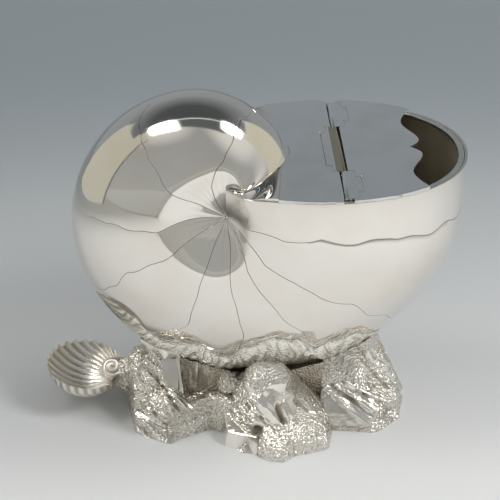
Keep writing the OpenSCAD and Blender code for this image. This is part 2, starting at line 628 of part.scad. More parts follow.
module handle_neck() { color("silver") on_table() neck_bar(neck_d); }

// Fixing under the shell
module fixing_stud() {
    top = axis_h + shell_at(stud_t, 0)[2] - fit_gap;
    low = core_top - roof_t - washer_t - nut_h - 1.5;
    color("gray") on_table() translate([stud_x, 0, low]) cylinder(h = top - low, d = stud_d, $fn = 48);
}
module fixing_washer() {
    color("gray") on_table() translate([stud_x, 0, core_top - roof_t - washer_t]) difference() {
        cylinder(h = washer_t, d = washer_d, $fn = 48);
        translate([0, 0, -1]) cylinder(h = washer_t + 2, d = stud_d + 2 * stud_gap, $fn = 48);
    }
}
module fixing_nut() {
    color("gray") on_table() translate([stud_x, 0, core_top - roof_t - washer_t - nut_h]) difference() {
        cylinder(h = nut_h, d = nut_w / cos(30), $fn = 6);
        translate([0, 0, -1]) cylinder(h = nut_h + 2, d = stud_d + 2 * pin_gap, $fn = 48);
    }
}

shell_front();
shell_back();
throat_front();
throat_back();
mouth_band();
cover_plate();
cover_leaf();
lid();
lid_leaf();
hinge_pin();
saddle();
rock_left();
rock_front();
rock_right();
rock_back();
rock_core();
urchin();
handle_dish();
handle_volute();
handle_neck();
fixing_stud();
fixing_washer();
fixing_nut();
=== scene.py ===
"""Looks of the nautilus spoon warmer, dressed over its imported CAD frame.

Shapes are worked out in millimetres and put into the meshes in metres, in the frame's own
axes: X runs from the handle to the lip, Y to the back and Z up from the table.
"""

import json
import math

import bmesh
import bpy
import numpy as np
from mathutils import Matrix, Vector


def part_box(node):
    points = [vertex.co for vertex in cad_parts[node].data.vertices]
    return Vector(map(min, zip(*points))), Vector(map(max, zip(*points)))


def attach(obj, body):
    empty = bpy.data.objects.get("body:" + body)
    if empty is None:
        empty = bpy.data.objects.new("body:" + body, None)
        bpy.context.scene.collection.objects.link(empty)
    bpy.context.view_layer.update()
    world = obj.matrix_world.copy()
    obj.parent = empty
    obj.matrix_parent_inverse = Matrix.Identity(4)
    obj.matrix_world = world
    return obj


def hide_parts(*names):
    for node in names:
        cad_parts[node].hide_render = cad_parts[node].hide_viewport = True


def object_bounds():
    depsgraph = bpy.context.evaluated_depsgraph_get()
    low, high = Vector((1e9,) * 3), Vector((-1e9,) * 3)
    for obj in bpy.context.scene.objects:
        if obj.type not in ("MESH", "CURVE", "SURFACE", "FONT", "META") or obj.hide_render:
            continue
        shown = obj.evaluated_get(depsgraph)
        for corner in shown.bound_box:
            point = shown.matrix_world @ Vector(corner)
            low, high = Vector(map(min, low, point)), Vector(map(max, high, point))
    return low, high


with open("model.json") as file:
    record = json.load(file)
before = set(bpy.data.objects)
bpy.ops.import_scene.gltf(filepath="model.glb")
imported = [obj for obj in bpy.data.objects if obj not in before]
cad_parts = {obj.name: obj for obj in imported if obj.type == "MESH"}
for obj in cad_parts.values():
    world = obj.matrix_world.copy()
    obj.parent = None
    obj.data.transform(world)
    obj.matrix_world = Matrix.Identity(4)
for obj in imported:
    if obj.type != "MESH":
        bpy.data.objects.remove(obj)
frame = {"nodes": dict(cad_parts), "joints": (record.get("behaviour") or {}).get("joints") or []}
cad_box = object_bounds()
nodes = frame["nodes"]

MM = 0.001
BOX_LOW, BOX_HIGH = (np.array(corner) / MM for corner in cad_box)

# Shell, as the part's source drives it
LIP_R = 101.7
COIL_R = 30.1
HALF_W = 33.4
MOUTH_SHIFT = 42.2
RIM_RISE = 10.8
KEEL_TUCK = 0.5
KEEL_EASE = 1.06
ROUND_LIP, ROUND_BODY, ROUND_CREASE = 2.1, 1.98, 1.6
BODY_FROM, CREASE_FROM = 90.0, 250.0
LIP_FADE, CREASE_FADE = 12.0, 40.0
WALL = 1.2
PLATE_T = 1.4
AXIS_H = 110.0
AXIS = np.array([BOX_HIGH[0] - LIP_R, 0.0, AXIS_H])
COIL_END = 360 - math.degrees(math.asin((RIM_RISE - KEEL_TUCK) / COIL_R))
# Hollow round the umbilicus: its depth, the half width that has all of it, its reach at the mouth,
# below and above, and the coil angles (from, over) in which the reach changes to below, to above and
# back. The umbilicus is drawn down from the axis by the slide.
FUNNEL, FUNNEL_FROM = 5.8, 15.0
REACH_MOUTH, REACH_BELOW, REACH_ABOVE = 10.0, 31.0, 22.0
REACH_TURNS = ((25, 85), (150, 95), (255, 70))
SLIDE, SLIDE_R = 3.4, 13.0


def ease(u):
    """Half a cosine wave from 0 to 1, flat at both ends."""
    return (1 - np.cos(np.pi * np.clip(u, 0, 1))) / 2


def keel_radius(t):
    """Keel radius at coil angle t: eases from the lip's reach to the coil's end."""
    return COIL_R + (LIP_R - COIL_R) * (1 - ease(t / COIL_END)) ** KEEL_EASE


def hollow(x, z):
    """Depth of the hollow by place in the side view; its reach changes round the coil."""
    r, t = np.hypot(x, z), np.degrees(np.arctan2(-z, x)) % 360
    below, above, back = (ease((t - start) / over) for start, over in REACH_TURNS)
    reach = (REACH_MOUTH + (REACH_BELOW - REACH_MOUTH) * below - (REACH_BELOW - REACH_ABOVE) * above
             - (REACH_ABOVE - REACH_MOUTH) * back)
    return FUNNEL * np.maximum(0, 1 - (r / reach) ** 3) ** 2


def slide(x, z):
    """Distance that a place in the side view is drawn down towards the umbilicus."""
    return SLIDE * np.exp(-(x * x + z * z) / SLIDE_R ** 2)


def section(t, power, grow):
    """Centre, span, sweep and half width of the superellipse arc at coil angle t, thickened by grow."""
    centre = MOUTH_SHIFT * np.cos(np.radians(np.minimum(t, 180) / 2)) ** 2
    span = keel_radius(t) + grow - centre
    sweep = np.arccos(-(centre / span) ** (power / 2))
    return centre, span, sweep, (HALF_W + grow) / np.sin(sweep) ** (2 / power)


def shell_point(t, a, grow=0.0, side=-1):
    """Point of the shell at coil angle t (degrees) and share a from keel (0) to umbilicus (1).

    Each section is a superellipse arc whose widest place moves from the axis to the middle of
    the mouth. grow thickens it, and side is -1 for the front half and 1 for the back half.
    """
    power = (ROUND_LIP - (ROUND_LIP - ROUND_BODY) * ease(t / BODY_FROM)
             - (ROUND_BODY - ROUND_CREASE) * ease((t - CREASE_FROM) / (COIL_END - CREASE_FROM)))
    centre, span, sweep, width = section(t, power, grow)
    turn = a * sweep
    r = centre + span * np.sign(np.cos(turn)) * np.abs(np.cos(turn)) ** (2 / power)
    y = width * np.abs(np.sin(turn)) ** (2 / power)
    lip, crease = 1 - ease(t / LIP_FADE), ease((t - COIL_END + CREASE_FADE) / CREASE_FADE)
    angle = np.radians(t)
    lift = RIM_RISE * (lip + crease * (1 - r / (centre + span)))
    x, z = r * np.cos(angle), lift - r * np.sin(angle)
    z = z - slide(x, z)
    y = y - hollow(x, z) * np.minimum(1, (y / FUNNEL_FROM) ** 2)
    return np.stack([x, side * y, z], -1) + AXIS


# Meshes


def grid_faces(cols, rows, wrap=False):
    """Quads of a grid of points numbered column by column; wrap joins the last column to the first."""
    i = np.arange(cols if wrap else cols - 1)[:, None]
    j = np.arange(rows - 1)[None, :]
    k = (i + 1) % cols
    return np.stack([i * rows + j, i * rows + j + 1, k * rows + j + 1, k * rows + j], -1).reshape(-1, 4)


def add(name, data):
    """New object in the scene."""
    made = bpy.data.objects.new(name, data)
    bpy.context.scene.collection.objects.link(made)
    return made


def build(name, points, faces, materials, body, stands_for, indices=None, marks=None, sharp=40):
    """Mesh object from points in millimetres, with its doubles merged and its faces turned out."""
    mesh = bpy.data.meshes.new(name)
    mesh.from_pydata((points * MM).tolist(), [], faces.tolist())
    for mark, values in (marks or {}).items():
        mesh.attributes.new(mark, "FLOAT", "POINT").data.foreach_set("value", values.astype(np.float32).ravel())
    for material in materials:
        mesh.materials.append(material)
    if indices is not None:
        mesh.polygons.foreach_set("material_index", indices.astype(np.int32))
    shape = bmesh.new()
    shape.from_mesh(mesh)
    bmesh.ops.remove_doubles(shape, verts=shape.verts, dist=1e-7)
    bmesh.ops.recalc_face_normals(shape, faces=shape.faces)
    shape.to_mesh(mesh)
    shape.free()
    mesh.polygons.foreach_set("use_smooth", np.ones(len(mesh.polygons), bool))
    mesh.set_sharp_from_angle(angle=math.radians(sharp))
    piece = add(name, mesh)
    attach(piece, body)
    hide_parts(*stands_for)


def sphere_rays(turn, rise):
    """Unit directions at turn round Z and rise above level, both in radians."""
    return np.stack([np.cos(turn) * np.cos(rise), np.sin(turn) * np.cos(rise), np.sin(rise) + 0 * turn], -1)


def toward(azimuth, elevation):
    """Unit direction from azimuth and elevation in degrees, azimuth from the front towards +X."""
    az, el = math.radians(azimuth), math.radians(elevation)
    return Vector((math.sin(az) * math.cos(el), -math.cos(az) * math.cos(el), math.sin(el)))


def sheet(outer, inner):
    """Points, faces and side number (0 outer, 1 inner, 2 edge) of a wall between two grids."""
    cols, rows = outer.shape[:2]
    count = cols * rows
    number = np.arange(count).reshape(cols, rows)
    skin = grid_faces(cols, rows)
    lining = skin[:, ::-1] + count
    rim = np.concatenate([number[:, 0], number[-1, 1:], number[-2::-1, -1], number[0, -2::-1]])
    edge = np.stack([rim[:-1], rim[1:], rim[1:] + count, rim[:-1] + count], -1)
    faces = np.concatenate([skin, lining, edge])
    kind = np.repeat([0, 1, 2], [len(skin), len(lining), len(edge)])
    return np.concatenate([outer.reshape(-1, 3), inner.reshape(-1, 3)]), faces, kind


def plate(name, top, thick, material, body="warmer", stands_for=(), marks=None, sharp=40):
    """Polished sheet of even thickness below a grid of points."""
    points, faces, _ = sheet(top, top - [0, 0, thick])
    build(name, points, faces, [material], body, stands_for, marks=marks, sharp=sharp)


def cast(name, grid, stands_for, slot, crevice, polish, sharp=75):
    """Cast piece on a grid closed round, with dirt and painted shade in its crevices and polished places as
    shares.
    """
    build(name, grid.reshape(-1, 3), grid_faces(*grid.shape[:2], wrap=True), [CAST[slot]], "warmer",
          stands_for, marks={"crevice": crevice, "polish": polish}, sharp=sharp)


# Materials: softness of tarnish, depth of handling marks, and count, depth and darkness of chased dents
CLOUD_SOFT, MARK_DEEP, GRIT_PER_M, GRIT_DEEP, GRIT_DARK = 0.22, 0.0002, 1150.0, 0.0006, 0.3


def node(tree, kind, values=None, **settings):
    """Node of a tree, with values or links given by input name or number."""
    made = tree.nodes.new(kind)
    for key, value in settings.items():
        setattr(made, key, value)
    for key, value in (values or {}).items():
        socket = made.inputs[key]
        if isinstance(value, bpy.types.NodeSocket):
            tree.links.new(value, socket)
        else:
            socket.default_value = value
    return made


def ramp(tree, fac, stops):
    """Colour ramp through (place, colour) stops."""
    made = node(tree, "ShaderNodeValToRGB", {"Fac": fac})
    for i, (place, colour) in enumerate(stops):
        stop = made.color_ramp.elements[i] if i < 2 else made.color_ramp.elements.new(place)
        stop.position = place
        stop.color = (*colour, 1)
    return made.outputs["Color"]


def object_place(tree):
    return node(tree, "ShaderNodeTexCoord").outputs["Object"]


def remap(tree, value, low, high, least=0.0, most=1.0, kind="LINEAR"):
    """Value taken from low..high to least..most and held beyond both; low may be the greater."""
    return node(tree, "ShaderNodeMapRange", {"Value": value, "From Min": low, "From Max": high, "To Min": least,
                                             "To Max": most}, interpolation_type=kind).outputs[0]


def smooth_step(tree, value, low, high):
    """0 at low, 1 at high and an S curve between them."""
    return remap(tree, value, low, high, kind="SMOOTHSTEP")


def math_node(tree, operation, a, b=0.0, clamp=False):
    return node(tree, "ShaderNodeMath", {0: a, 1: b}, operation=operation, use_clamp=clamp).outputs[0]


def mix(tree, fac, a, b):
    """Colour between a and b, each of them a link or a plain colour."""
    a, b = (colour if isinstance(colour, bpy.types.NodeSocket) else (*colour, 1) for colour in (a, b))
    return node(tree, "ShaderNodeMix", {0: fac, 6: a, 7: b}, data_type="RGBA").outputs[2]


def noise(tree, place, scale, detail):
    return node(tree, "ShaderNodeTexNoise", {"Vector": place, "Scale": scale, "Detail": detail}).outputs[0]


def group(name, inputs, outputs):
    """Empty node group with float inputs {name: default} and named float outputs."""
    tree = bpy.data.node_groups.new(name, "ShaderNodeTree")
    for key, default in inputs.items():
        tree.interface.new_socket(key, in_out="INPUT", socket_type="NodeSocketFloat").default_value = default
    for key in outputs:
        tree.interface.new_socket(key, in_out="OUTPUT", socket_type="NodeSocketFloat")
    return tree, tree.nodes.new("NodeGroupInput").outputs, tree.nodes.new("NodeGroupOutput")


def make_tarnish():
    """Cloudy tarnish, as a mask from clean (0) to tarnished (1)."""
    tree, given, out = group("tarnish_clouds", {"Scale": 60.0, "Cover": 0.5}, ["Mask"])
    broad = noise(tree, object_place(tree), given["Scale"], 5.0)
    middle = math_node(tree, "SUBTRACT", 1.0, given["Cover"])
    low, high = (math_node(tree, way, middle, CLOUD_SOFT) for way in ("SUBTRACT", "ADD"))
    tree.links.new(smooth_step(tree, broad, low, high), out.inputs["Mask"])
    return tree


def make_handling():
    """Handling marks: fine crossed scratches and small pits, as a height and a roughness share."""
    tree, _, out = group("handling_marks", {}, ["Height", "Haze"])
    place = object_place(tree)
    strokes = []
    for turn, stretch in (((0.3, 0.2, 0.5), (900, 60, 900)), ((0.1, 0.7, -0.6), (70, 1000, 800))):
        spun = node(tree, "ShaderNodeMapping", {"Vector": place, "Rotation": turn, "Scale": stretch}).outputs[0]
        strokes.append(remap(tree, noise(tree, spun, 1.0, 3.0), 0.6, 0.75))
    scratches = math_node(tree, "MAXIMUM", *strokes)
    pits = node(tree, "ShaderNodeTexVoronoi", {"Vector": place, "Scale": 160.0, "Randomness": 1.0})
    pits = remap(tree, pits.outputs["Distance"], 0.03, 0.07)
    tree.links.new(math_node(tree, "SUBTRACT", pits, scratches), out.inputs["Height"])
    haze = math_node(tree, "ADD", math_node(tree, "MULTIPLY", scratches, 0.5), noise(tree, place, 45.0, 4.0))
    tree.links.new(haze, out.inputs["Haze"])
    return tree


def place_group(tree, which, **values):
    return node(tree, "ShaderNodeGroup", values, node_tree=which).outputs


def new_material(name):
    """Material with a metallic Principled shader, its tree and that shader."""
    material = bpy.data.materials.new(name)
    material.use_nodes = True
    tree = material.node_tree
    tree.nodes.clear()
    shader = tree.nodes.new("ShaderNodeBsdfPrincipled")
    shader.inputs["Metallic"].default_value = 1.0
    target = tree.nodes.new("ShaderNodeOutputMaterial")
    tree.links.new(shader.outputs[0], target.inputs["Surface"])
    return material, tree, shader


def make_grit():
    """Chaser's stipple: small round dents, as a height and a mask of the grooves between them."""
    tree, _, out = group("chased_grit", {}, ["Height", "Groove"])
    place = object_place(tree)
    grain = node(tree, "ShaderNodeTexVoronoi", {"Vector": place, "Scale": GRIT_PER_M}).outputs["Distance"]
    tree.links.new(math_node(tree, "SUBTRACT", noise(tree, place, 420.0, 3.0), grain), out.inputs["Height"])
    tree.links.new(remap(tree, grain, 0.42, 0.8), out.inputs["Groove"])
    return tree


TARNISH, HANDLING, GRIT = make_tarnish(), make_handling(), make_grit()
SOOT = (0.05, 0.035, 0.02)


def silver(name, clean, tarnished, rough, cover, scale, bump=0.02, mark=None, mark_colour=SOOT, grit=0.0,
           strip=None):
    """Silver that goes from a clean colour to a tarnished one in clouds, with handling marks.

    rough is (least, most) roughness, cover the tarnished share, and mark an attribute that
    darkens the metal where it is 1. grit is the strength of a chased stipple, which the polish
    attribute takes away, and strip is (metres along X, colour) from which the metal has that colour.
    """
    material, tree, shader = new_material(name)
    clouds = place_group(tree, TARNISH, Scale=scale, Cover=cover)["Mask"]
    marks = place_group(tree, HANDLING)
    colour = mix(tree, clouds, clean, tarnished)
    if mark:
        shade = node(tree, "ShaderNodeAttribute", attribute_name=mark).outputs["Fac"]
        colour = mix(tree, shade, colour, mark_colour)
    if strip:
        along = node(tree, "ShaderNodeSeparateXYZ", {0: object_place(tree)}).outputs[0]
        colour = mix(tree, math_node(tree, "GREATER_THAN", along, strip[0]), colour, strip[1])
    if grit:
        polish = node(tree, "ShaderNodeAttribute", attribute_name="polish").outputs["Fac"]
        stippled = math_node(tree, "SUBTRACT", 1.0, polish, clamp=True)
        dents = place_group(tree, GRIT)
        dark = math_node(tree, "MULTIPLY", math_node(tree, "MULTIPLY", dents["Groove"], stippled), GRIT_DARK)
        colour = mix(tree, dark, colour, mark_colour)
    tree.links.new(colour, shader.inputs["Base Color"])
    blur = remap(tree, marks["Haze"], 0.25, 0.85, *rough)
    if mark:
        blur = math_node(tree, "ADD", blur, math_node(tree, "MULTIPLY", shade, 0.25), clamp=True)
    if grit:
        blur = math_node(tree, "SUBTRACT", blur, math_node(tree, "MULTIPLY", polish, 0.08), clamp=True)
    tree.links.new(blur, shader.inputs["Roughness"])
    relief = node(tree, "ShaderNodeBump", {"Height": marks["Height"], "Strength": bump,
                                           "Distance": MARK_DEEP}).outputs[0]
    if grit:
        relief = node(tree, "ShaderNodeBump", {"Height": dents["Height"], "Distance": GRIT_DEEP, "Normal": relief,
                                               "Strength": math_node(tree, "MULTIPLY", stippled, grit)}).outputs[0]
    tree.links.new(relief, shader.inputs["Normal"])
    return material


HINGE_X, KNUCKLE_HALF = frame["joints"][0]["pos_m"][0], 2.9
# The crevice colour stands for dirt and painted shade in crevices, creases and between chased dents.
CLEAN, TARNISHED, DIRT_AND_SHADE = (0.98, 0.955, 0.90), (0.94, 0.895, 0.815), (0.27, 0.22, 0.155)
PLATE_CLEAN, PLATE_DULL, TAN = (0.88, 0.89, 0.90), (0.80, 0.80, 0.78), (0.50, 0.45, 0.33)
shell_silver = silver("shell_silver", (0.93, 0.90, 0.855), (0.885, 0.83, 0.76), (0.045, 0.10), 0.45, 40.0,
                      mark="patina")
lining_silver = silver("lining_silver", (0.90, 0.83, 0.68), (0.78, 0.70, 0.54), (0.5, 0.7), 0.5, 55.0)
rim_silver = silver("rim_silver", (0.80, 0.80, 0.78), (0.72, 0.69, 0.62), (0.22, 0.36), 0.4, 70.0)
lid_silver = silver("lid_silver", PLATE_CLEAN, PLATE_DULL, (0.10, 0.18), 0.4, 45.0, bump=0.04)
leaf_silver = silver("leaf_silver", PLATE_CLEAN, PLATE_DULL, (0.10, 0.18), 0.4, 45.0, bump=0.3,
                     strip=(HINGE_X - KNUCKLE_HALF * MM, TAN))
hinge_tan = silver("hinge_tan", (0.60, 0.55, 0.42), (0.42, 0.37, 0.26), (0.25, 0.42), 0.5, 220.0, bump=0.25)
cast_silver = silver("cast_silver", CLEAN, TARNISHED, (0.14, 0.26), 0.45, 120.0, bump=0.2, mark="crevice",
                     mark_colour=DIRT_AND_SHADE, grit=0.8)
handle_silver = silver("handle_silver", CLEAN, TARNISHED, (0.20, 0.34), 0.45, 140.0, bump=0.15, mark="crevice",
                       mark_colour=DIRT_AND_SHADE)
core_silver = silver("core_silver", (0.95, 0.87, 0.76), (0.78, 0.69, 0.57), (0.22, 0.40), 0.55, 160.0, bump=1.0,
                     mark_colour=DIRT_AND_SHADE, grit=1.0)
fixing_steel = silver("fixing_steel", (0.42, 0.41, 0.40), (0.30, 0.25, 0.20), (0.3, 0.5), 0.5, 200.0, bump=0.2)
CAST = {"cast_silver": cast_silver, "handle_silver": handle_silver}

# Chased lines: coil angles from the umbilicus to the keel at even shares of the way
CHASED = [
    (13, 17, 10, 10, 8, 9, 8, 8, 8, 9),
    (48, 54, 46, 44, 39, 40, 39, 40, 38, 39),
    (66, 72, 68, 65, 62, 61, 61, 62, 60, 61),
    (84, 88, 87, 84, 84, 86, 87, 86, 84, 85),
    (109, 109, 109, 107, 107, 110, 111, 109, 110, 112),
    (139, 140, 140, 142, 143, 140, 139, 140, 142, 141),
    (170, 166, 163, 166, 169, 171, 171, 173, 174, 176),
    (199, 199, 201, 209, 213, 216, 219, 221, 224, 230),
    (235, 243, 255, 266, 273, 277, 280, 283, 289, 295)]
CHASED_FROM = 0.9
GROOVE_W, GROOVE_D, GROOVE_SHARE, GROOVE_GAP = 0.17, 0.17, 0.12, 12.0
GROOVE_END, GROOVE_FADE = 0.985, 0.05
VALLEY_D, VALLEY_W = 0.10, 3.0
SECTOR_COLS, SHELL_ROWS = 26, 120
# Patina: dark at the umbilicus, streaked round it, and stained to its right
STREAKS, POLE_R, STREAK_R, STAIN_X, STAIN_R = 31.0, 4.0, 10.0, 4.2, 5.0
# The lip thickens where it meets the coil at the umbilicus
HEEL_T, HEEL_X, HEEL_FROM = 2.0, 0.15, 0.96


def chased_angle(line, a):
    """Coil angle of a chased line at share a, with a slight hand wander."""
    steps = np.linspace(CHASED_FROM, 0, len(line))
    return np.interp(a, steps[::-1], line[::-1]) + 0.5 * np.sin(41 * a + line[0]) * np.sin(np.pi * a)


def shell_half(name, side, stands_for):
    """Half of the shell: columns follow the chased lines, each cut as a real V groove.

    Between two lines the columns are spread evenly, and the skin sinks softly towards a line.
    """
    a = np.linspace(0, 1, SHELL_ROWS)
    lines = [np.zeros_like(a)] + [chased_angle(line, a) for line in CHASED] + [np.full_like(a, COIL_END)]
    widths = []
    for k, t in enumerate(lines):
        point = shell_point(t, a) - AXIS
        r = np.hypot(point[:, 0], point[:, 2]) + 1e-6
        gap = min(GROOVE_GAP, *[np.abs(t - other).min() for i, other in enumerate(lines) if i != k])
        inner = 0 < k < len(lines) - 1
        widths.append(np.minimum(np.degrees(GROOVE_W / r), GROOVE_SHARE * gap) if inner else np.zeros_like(a))
    columns, cuts = [], []
    for k in range(len(lines) - 1):
        start, end = lines[k] + widths[k], lines[k + 1] - widths[k + 1]
        columns += [start + (end - start) * f for f in np.linspace(0, 1, SECTOR_COLS)]
        cuts += [0.0] * SECTOR_COLS
        if k < len(lines) - 2:
            columns.append(lines[k + 1])
            cuts.append(1.0)
    t = np.stack(columns)
    share = np.broadcast_to(a, t.shape)
    cut = np.array(cuts)[:, None] * np.clip((GROOVE_END - share) / GROOVE_FADE, 0, 1)
    base = shell_point(t, share, 0.0, side) - AXIS
    r = np.hypot(base[..., 0], base[..., 2])
    away = np.min([np.abs(t - line) for line in lines[1:-1]], axis=0) * np.radians(1) * r
    sink = VALLEY_D * np.exp(-away / VALLEY_W) + GROOVE_D * cut
    outer = shell_point(t, share, -sink, side)
    heel = np.clip((share - HEEL_FROM) / (1 - HEEL_FROM), 0, 1) * (t < LIP_FADE)
    inner = shell_point(t, share, -WALL - HEEL_T * heel, side)
    inner[..., 0] -= HEEL_X * heel
    outer[..., 0] -= HEEL_X * heel
    points, faces, kind = sheet(outer, inner)
    streaks = 0.5 + 0.5 * np.cos(np.radians(t) * STREAKS + 2.0 * np.sin(3.1 * np.radians(t)))
    pole = 0.5 * np.exp(-(r / POLE_R) ** 2) + 0.3 * streaks ** 3 * np.exp(-(r / STREAK_R) ** 2)
    stain = 0.35 * np.exp(-((base[..., 0] - STAIN_X) ** 2 + base[..., 2] ** 2) / STAIN_R ** 2)
    patina = np.clip(np.maximum(0.7 * cut, pole + stain), 0, 1)
    build(name, points, faces, [shell_silver, lining_silver, rim_silver], "warmer",
          stands_for, kind, {"patina": np.concatenate([patina, 0 * patina])}, sharp=28)


shell_half("shell_front_chased", -1, ["shell_front"])
shell_half("shell_back_chased", 1, ["shell_back"])

# Throat: a hollow pressed between the coil and the rim, rolling up to the cover plate
THROAT_SHARE, THROAT_X, THROAT_T = 0.36, 20.0, 1.7
THROAT_FROM, THROAT_TO, THROAT_LAP = 0.02, 1.05, 0.03
THROAT_NOSE, THROAT_D, THROAT_DEEP, THROAT_PEAK, THROAT_N = 0.06, 3.2, 1.4, 0.9, 90
THROAT_LOW, ROLL_UP_FROM, ROLL_UP_OVER = 0.6, 0.2, 0.79


def lip_share(x):
    """Share of the lip's half outline at which it has come in to x from the spiral axis."""
    a = np.linspace(0, 1, 2001)
    reach = (shell_point(np.zeros_like(a), a) - AXIS)[:, 0]
    return float(np.interp(-x, -reach, a))


def throat(name, side, stands_for):
    """Sheet from the crease to the lip: straight across, and sunk by a sine each way."""
    u = np.linspace(THROAT_FROM, THROAT_TO, THROAT_N)[:, None]
    v = np.linspace(0, 1, THROAT_N)[None, :]
    zero = np.zeros_like(u)
    crease = shell_point(zero + COIL_END, 1 - u * (1 - THROAT_SHARE), 0.0, side)
    lip = shell_point(zero, 1 - u * (1 - lip_share(THROAT_X)), -WALL, side)
    top = crease * (1 - v[..., None]) + lip * v[..., None]
    along = np.clip((u - THROAT_NOSE) / (1 - THROAT_NOSE), 0, 1)
    rolled = (THROAT_LOW + PLATE_T + THROAT_LAP) * ease((u - ROLL_UP_FROM) / ROLL_UP_OVER)
    level = RIM_RISE - THROAT_LOW + rolled - slide(top[..., 0] - AXIS[0], RIM_RISE)
    sunk = np.sin(np.pi * v ** THROAT_DEEP) * np.sin(np.pi * along ** THROAT_PEAK) ** 2
    top[..., 2] = AXIS_H + level - THROAT_D * sunk
    plate(name, top, THROAT_T, shell_silver, stands_for=stands_for,
          marks={"patina": np.zeros(2 * sunk.size)}, sharp=50)


throat("throat_front_pressed", -1, ["throat_front"])
throat("throat_back_pressed", 1, ["throat_back"])

# Solder that fills the crescent between the end of the coil and the cover plate
SOLDER_IN, SOLDER_OUT, SOLDER_DIP, SOLDER_T, SOLDER_N = 0.6, 1.4, 0.05, 0.6, 60
solder_a = THROAT_SHARE * np.linspace(-1, 1, SOLDER_N)[:, None]
edge = shell_point(0 * solder_a + COIL_END, np.abs(solder_a), 0.0, np.where(solder_a < 0, -1, 1))
top = edge + np.linspace(-SOLDER_IN, SOLDER_OUT, 4)[None, :, None] * [1.0, 0, 0]
top[..., 2] = AXIS_H + RIM_RISE + PLATE_T - SOLDER_DIP
plate("coil_solder", top, SOLDER_T, lid_silver, sharp=50)

# Laps that narrow the hinge's open joints: (name, body, places along X, from and to along Y)
LAP_DIP, LAP_T, LAP_OUT, LAP_CLEAR = 0.12, 0.1, 0.25, 0.2
LID_HOLD, PLATE_HOLD, LAP_END = 0.5, 0.4, 43.0
LID_X, PLATE_X, LEAF_Y = (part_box(name)[corner][axis] / MM for name, corner, axis in (
    ("lid", 0, 0), ("cover_plate", 1, 0), ("cover_leaf", 1, 1)))
LID_LAP, PLATE_LAP = (LID_X - LAP_OUT, LID_X + LID_HOLD), (PLATE_X - PLATE_HOLD, PLATE_X + LAP_OUT)
for name, body, along, y0, y1 in (("lid_lap", "lid", LID_LAP, LAP_CLEAR - LEAF_Y, LEAF_Y - LAP_CLEAR),
                                  ("plate_lap_front", "warmer", PLATE_LAP, -LAP_END, -LEAF_Y - LAP_CLEAR),
                                  ("plate_lap_back", "warmer", PLATE_LAP, LEAF_Y + LAP_CLEAR, LAP_END)):
    top = np.array([[[x, y, AXIS_H + RIM_RISE + PLATE_T - LAP_DIP] for y in (y0, y1)] for x in along])
    plate(name, top, LAP_T, lid_silver, body)

# Noise in plain numpy, for cast surfaces


def scatter(cell, seed):
    """Repeatable random share for every whole-number cell of three axes."""
    mixed = np.sin(cell @ np.array([12.9898, 78.233, 37.719]) + seed * 17.17) * 43758.5453
    return mixed - np.floor(mixed)


def clouds(p, seed=0.0):
    """Smooth noise from -1 to 1: random values at whole-number points, eased between them."""
    cell, f = np.floor(p), p - np.floor(p)
    f = f * f * (3 - 2 * f)
    total = np.zeros(p.shape[:-1])
    for corner in np.ndindex(2, 2, 2):
        share = np.prod(np.where(np.array(corner) == 1, f, 1 - f), axis=-1)
        total += share * scatter(cell + corner, seed)
    return 2 * total - 1


def rough(p, seed=0.0):
    """Three octaves of cloud noise."""
    return clouds(p, seed) + 0.5 * clouds(2.1 * p, seed + 1) + 0.25 * clouds(4.3 * p, seed + 2)


def pebbles(p, seed=0.0):
    """Round grains: 1 at the middle of each scattered grain, 0 between them."""
    cell = np.floor(p)
    nearest = np.full(p.shape[:-1], 9.0)
    for step in np.ndindex(3, 3, 3):
        near = cell + step - 1
        spot = near + np.stack([scatter(near, seed + k) for k in (3, 5, 7)], -1)
        nearest = np.minimum(nearest, np.sum((p - spot) ** 2, -1))
    return np.clip(1 - nearest / 0.55, 0, 1)


# Rockwork: each rock is the reach of its crags from one heart inside it, along every direction.
# A crag has its facets by finish, each (azimuth, lean from upright, horizontal reach and height of a
# point on it, grain), with 0 for a height or grain left out. A lump is (finish, centre, radii). Places
# are from the spiral axis and the table.
GRAIN_MM, STRIA_MM, PLANK_MM, WAVE_MM = 1.25, 1.5, 4.5, 2.2
EDGE, CRAG_MOST = 40.0, 36.0
ROCK_COLS, ROCK_ROWS = 420, 226
FOOT_LOW, FOOT_ROWS = -42.0, 10
SEAT_GROW, SEAT_FROM, SEAT_STEPS = 1.6, 0.3, 60
SHARE_LEAST, SWELL_H, SWELL_MM, CREASE_MM = 0.02, 0.5, 9, 0.7
LUMP_GRAIN = np.array([0.5, 0.6, 0.6])


def finish_height(finish, p, across):
    """Chaser's finish at points p as a height in millimetres; across runs over its stripes."""
    if finish == "stipple":
        return 0.5 * pebbles(p / GRAIN_MM) - 0.3 + 0.25 * rough(p / 5)
    stripe = p @ across + 1.1 * rough(p / 7, 2.0)
    if finish == "striae":
        return 0.35 * np.abs(np.sin(np.pi * stripe / STRIA_MM)) - 0.25 + 0.2 * rough(p / 4)
    # The recess finish sits about 1.2 mm low on average, which the painted shade in rock() turns dark.
    if finish == "recess":
        return 1.2 * rough(p * [0.7, 0.7, 0.08], 5.0) - 1.2
    if finish == "planks":
        return 1.1 * ((stripe / PLANK_MM) % 1 - 0.5) + 0.2 * rough(p / 3)
    if finish == "waves":
        return 0.4 * np.sin(2 * np.pi * (stripe / WAVE_MM + 0.35 * rough(p / 4))) + 0.1 * rough(p / 2)
    return 0.22 * rough(p / 6)


def facet_planes(facets, heart):
    """Outward normals, distances from the heart and stripe directions of a crag's facets."""
    az, lean, reach, height, grain = np.array([(*f[1:], 0, 0)[:5] for f in facets], float).T
    az, lean, grain = np.radians(az), np.radians(lean), np.radians(grain)
    normal = sphere_rays(az, lean)
    level = np.stack([-np.sin(az), np.cos(az), 0 * az], -1)
    across = np.cos(grain)[:, None] * level + np.sin(grain)[:, None] * np.cross(normal, level)
    return normal, reach * np.cos(lean) + (height - heart[2]) * np.sin(lean), across


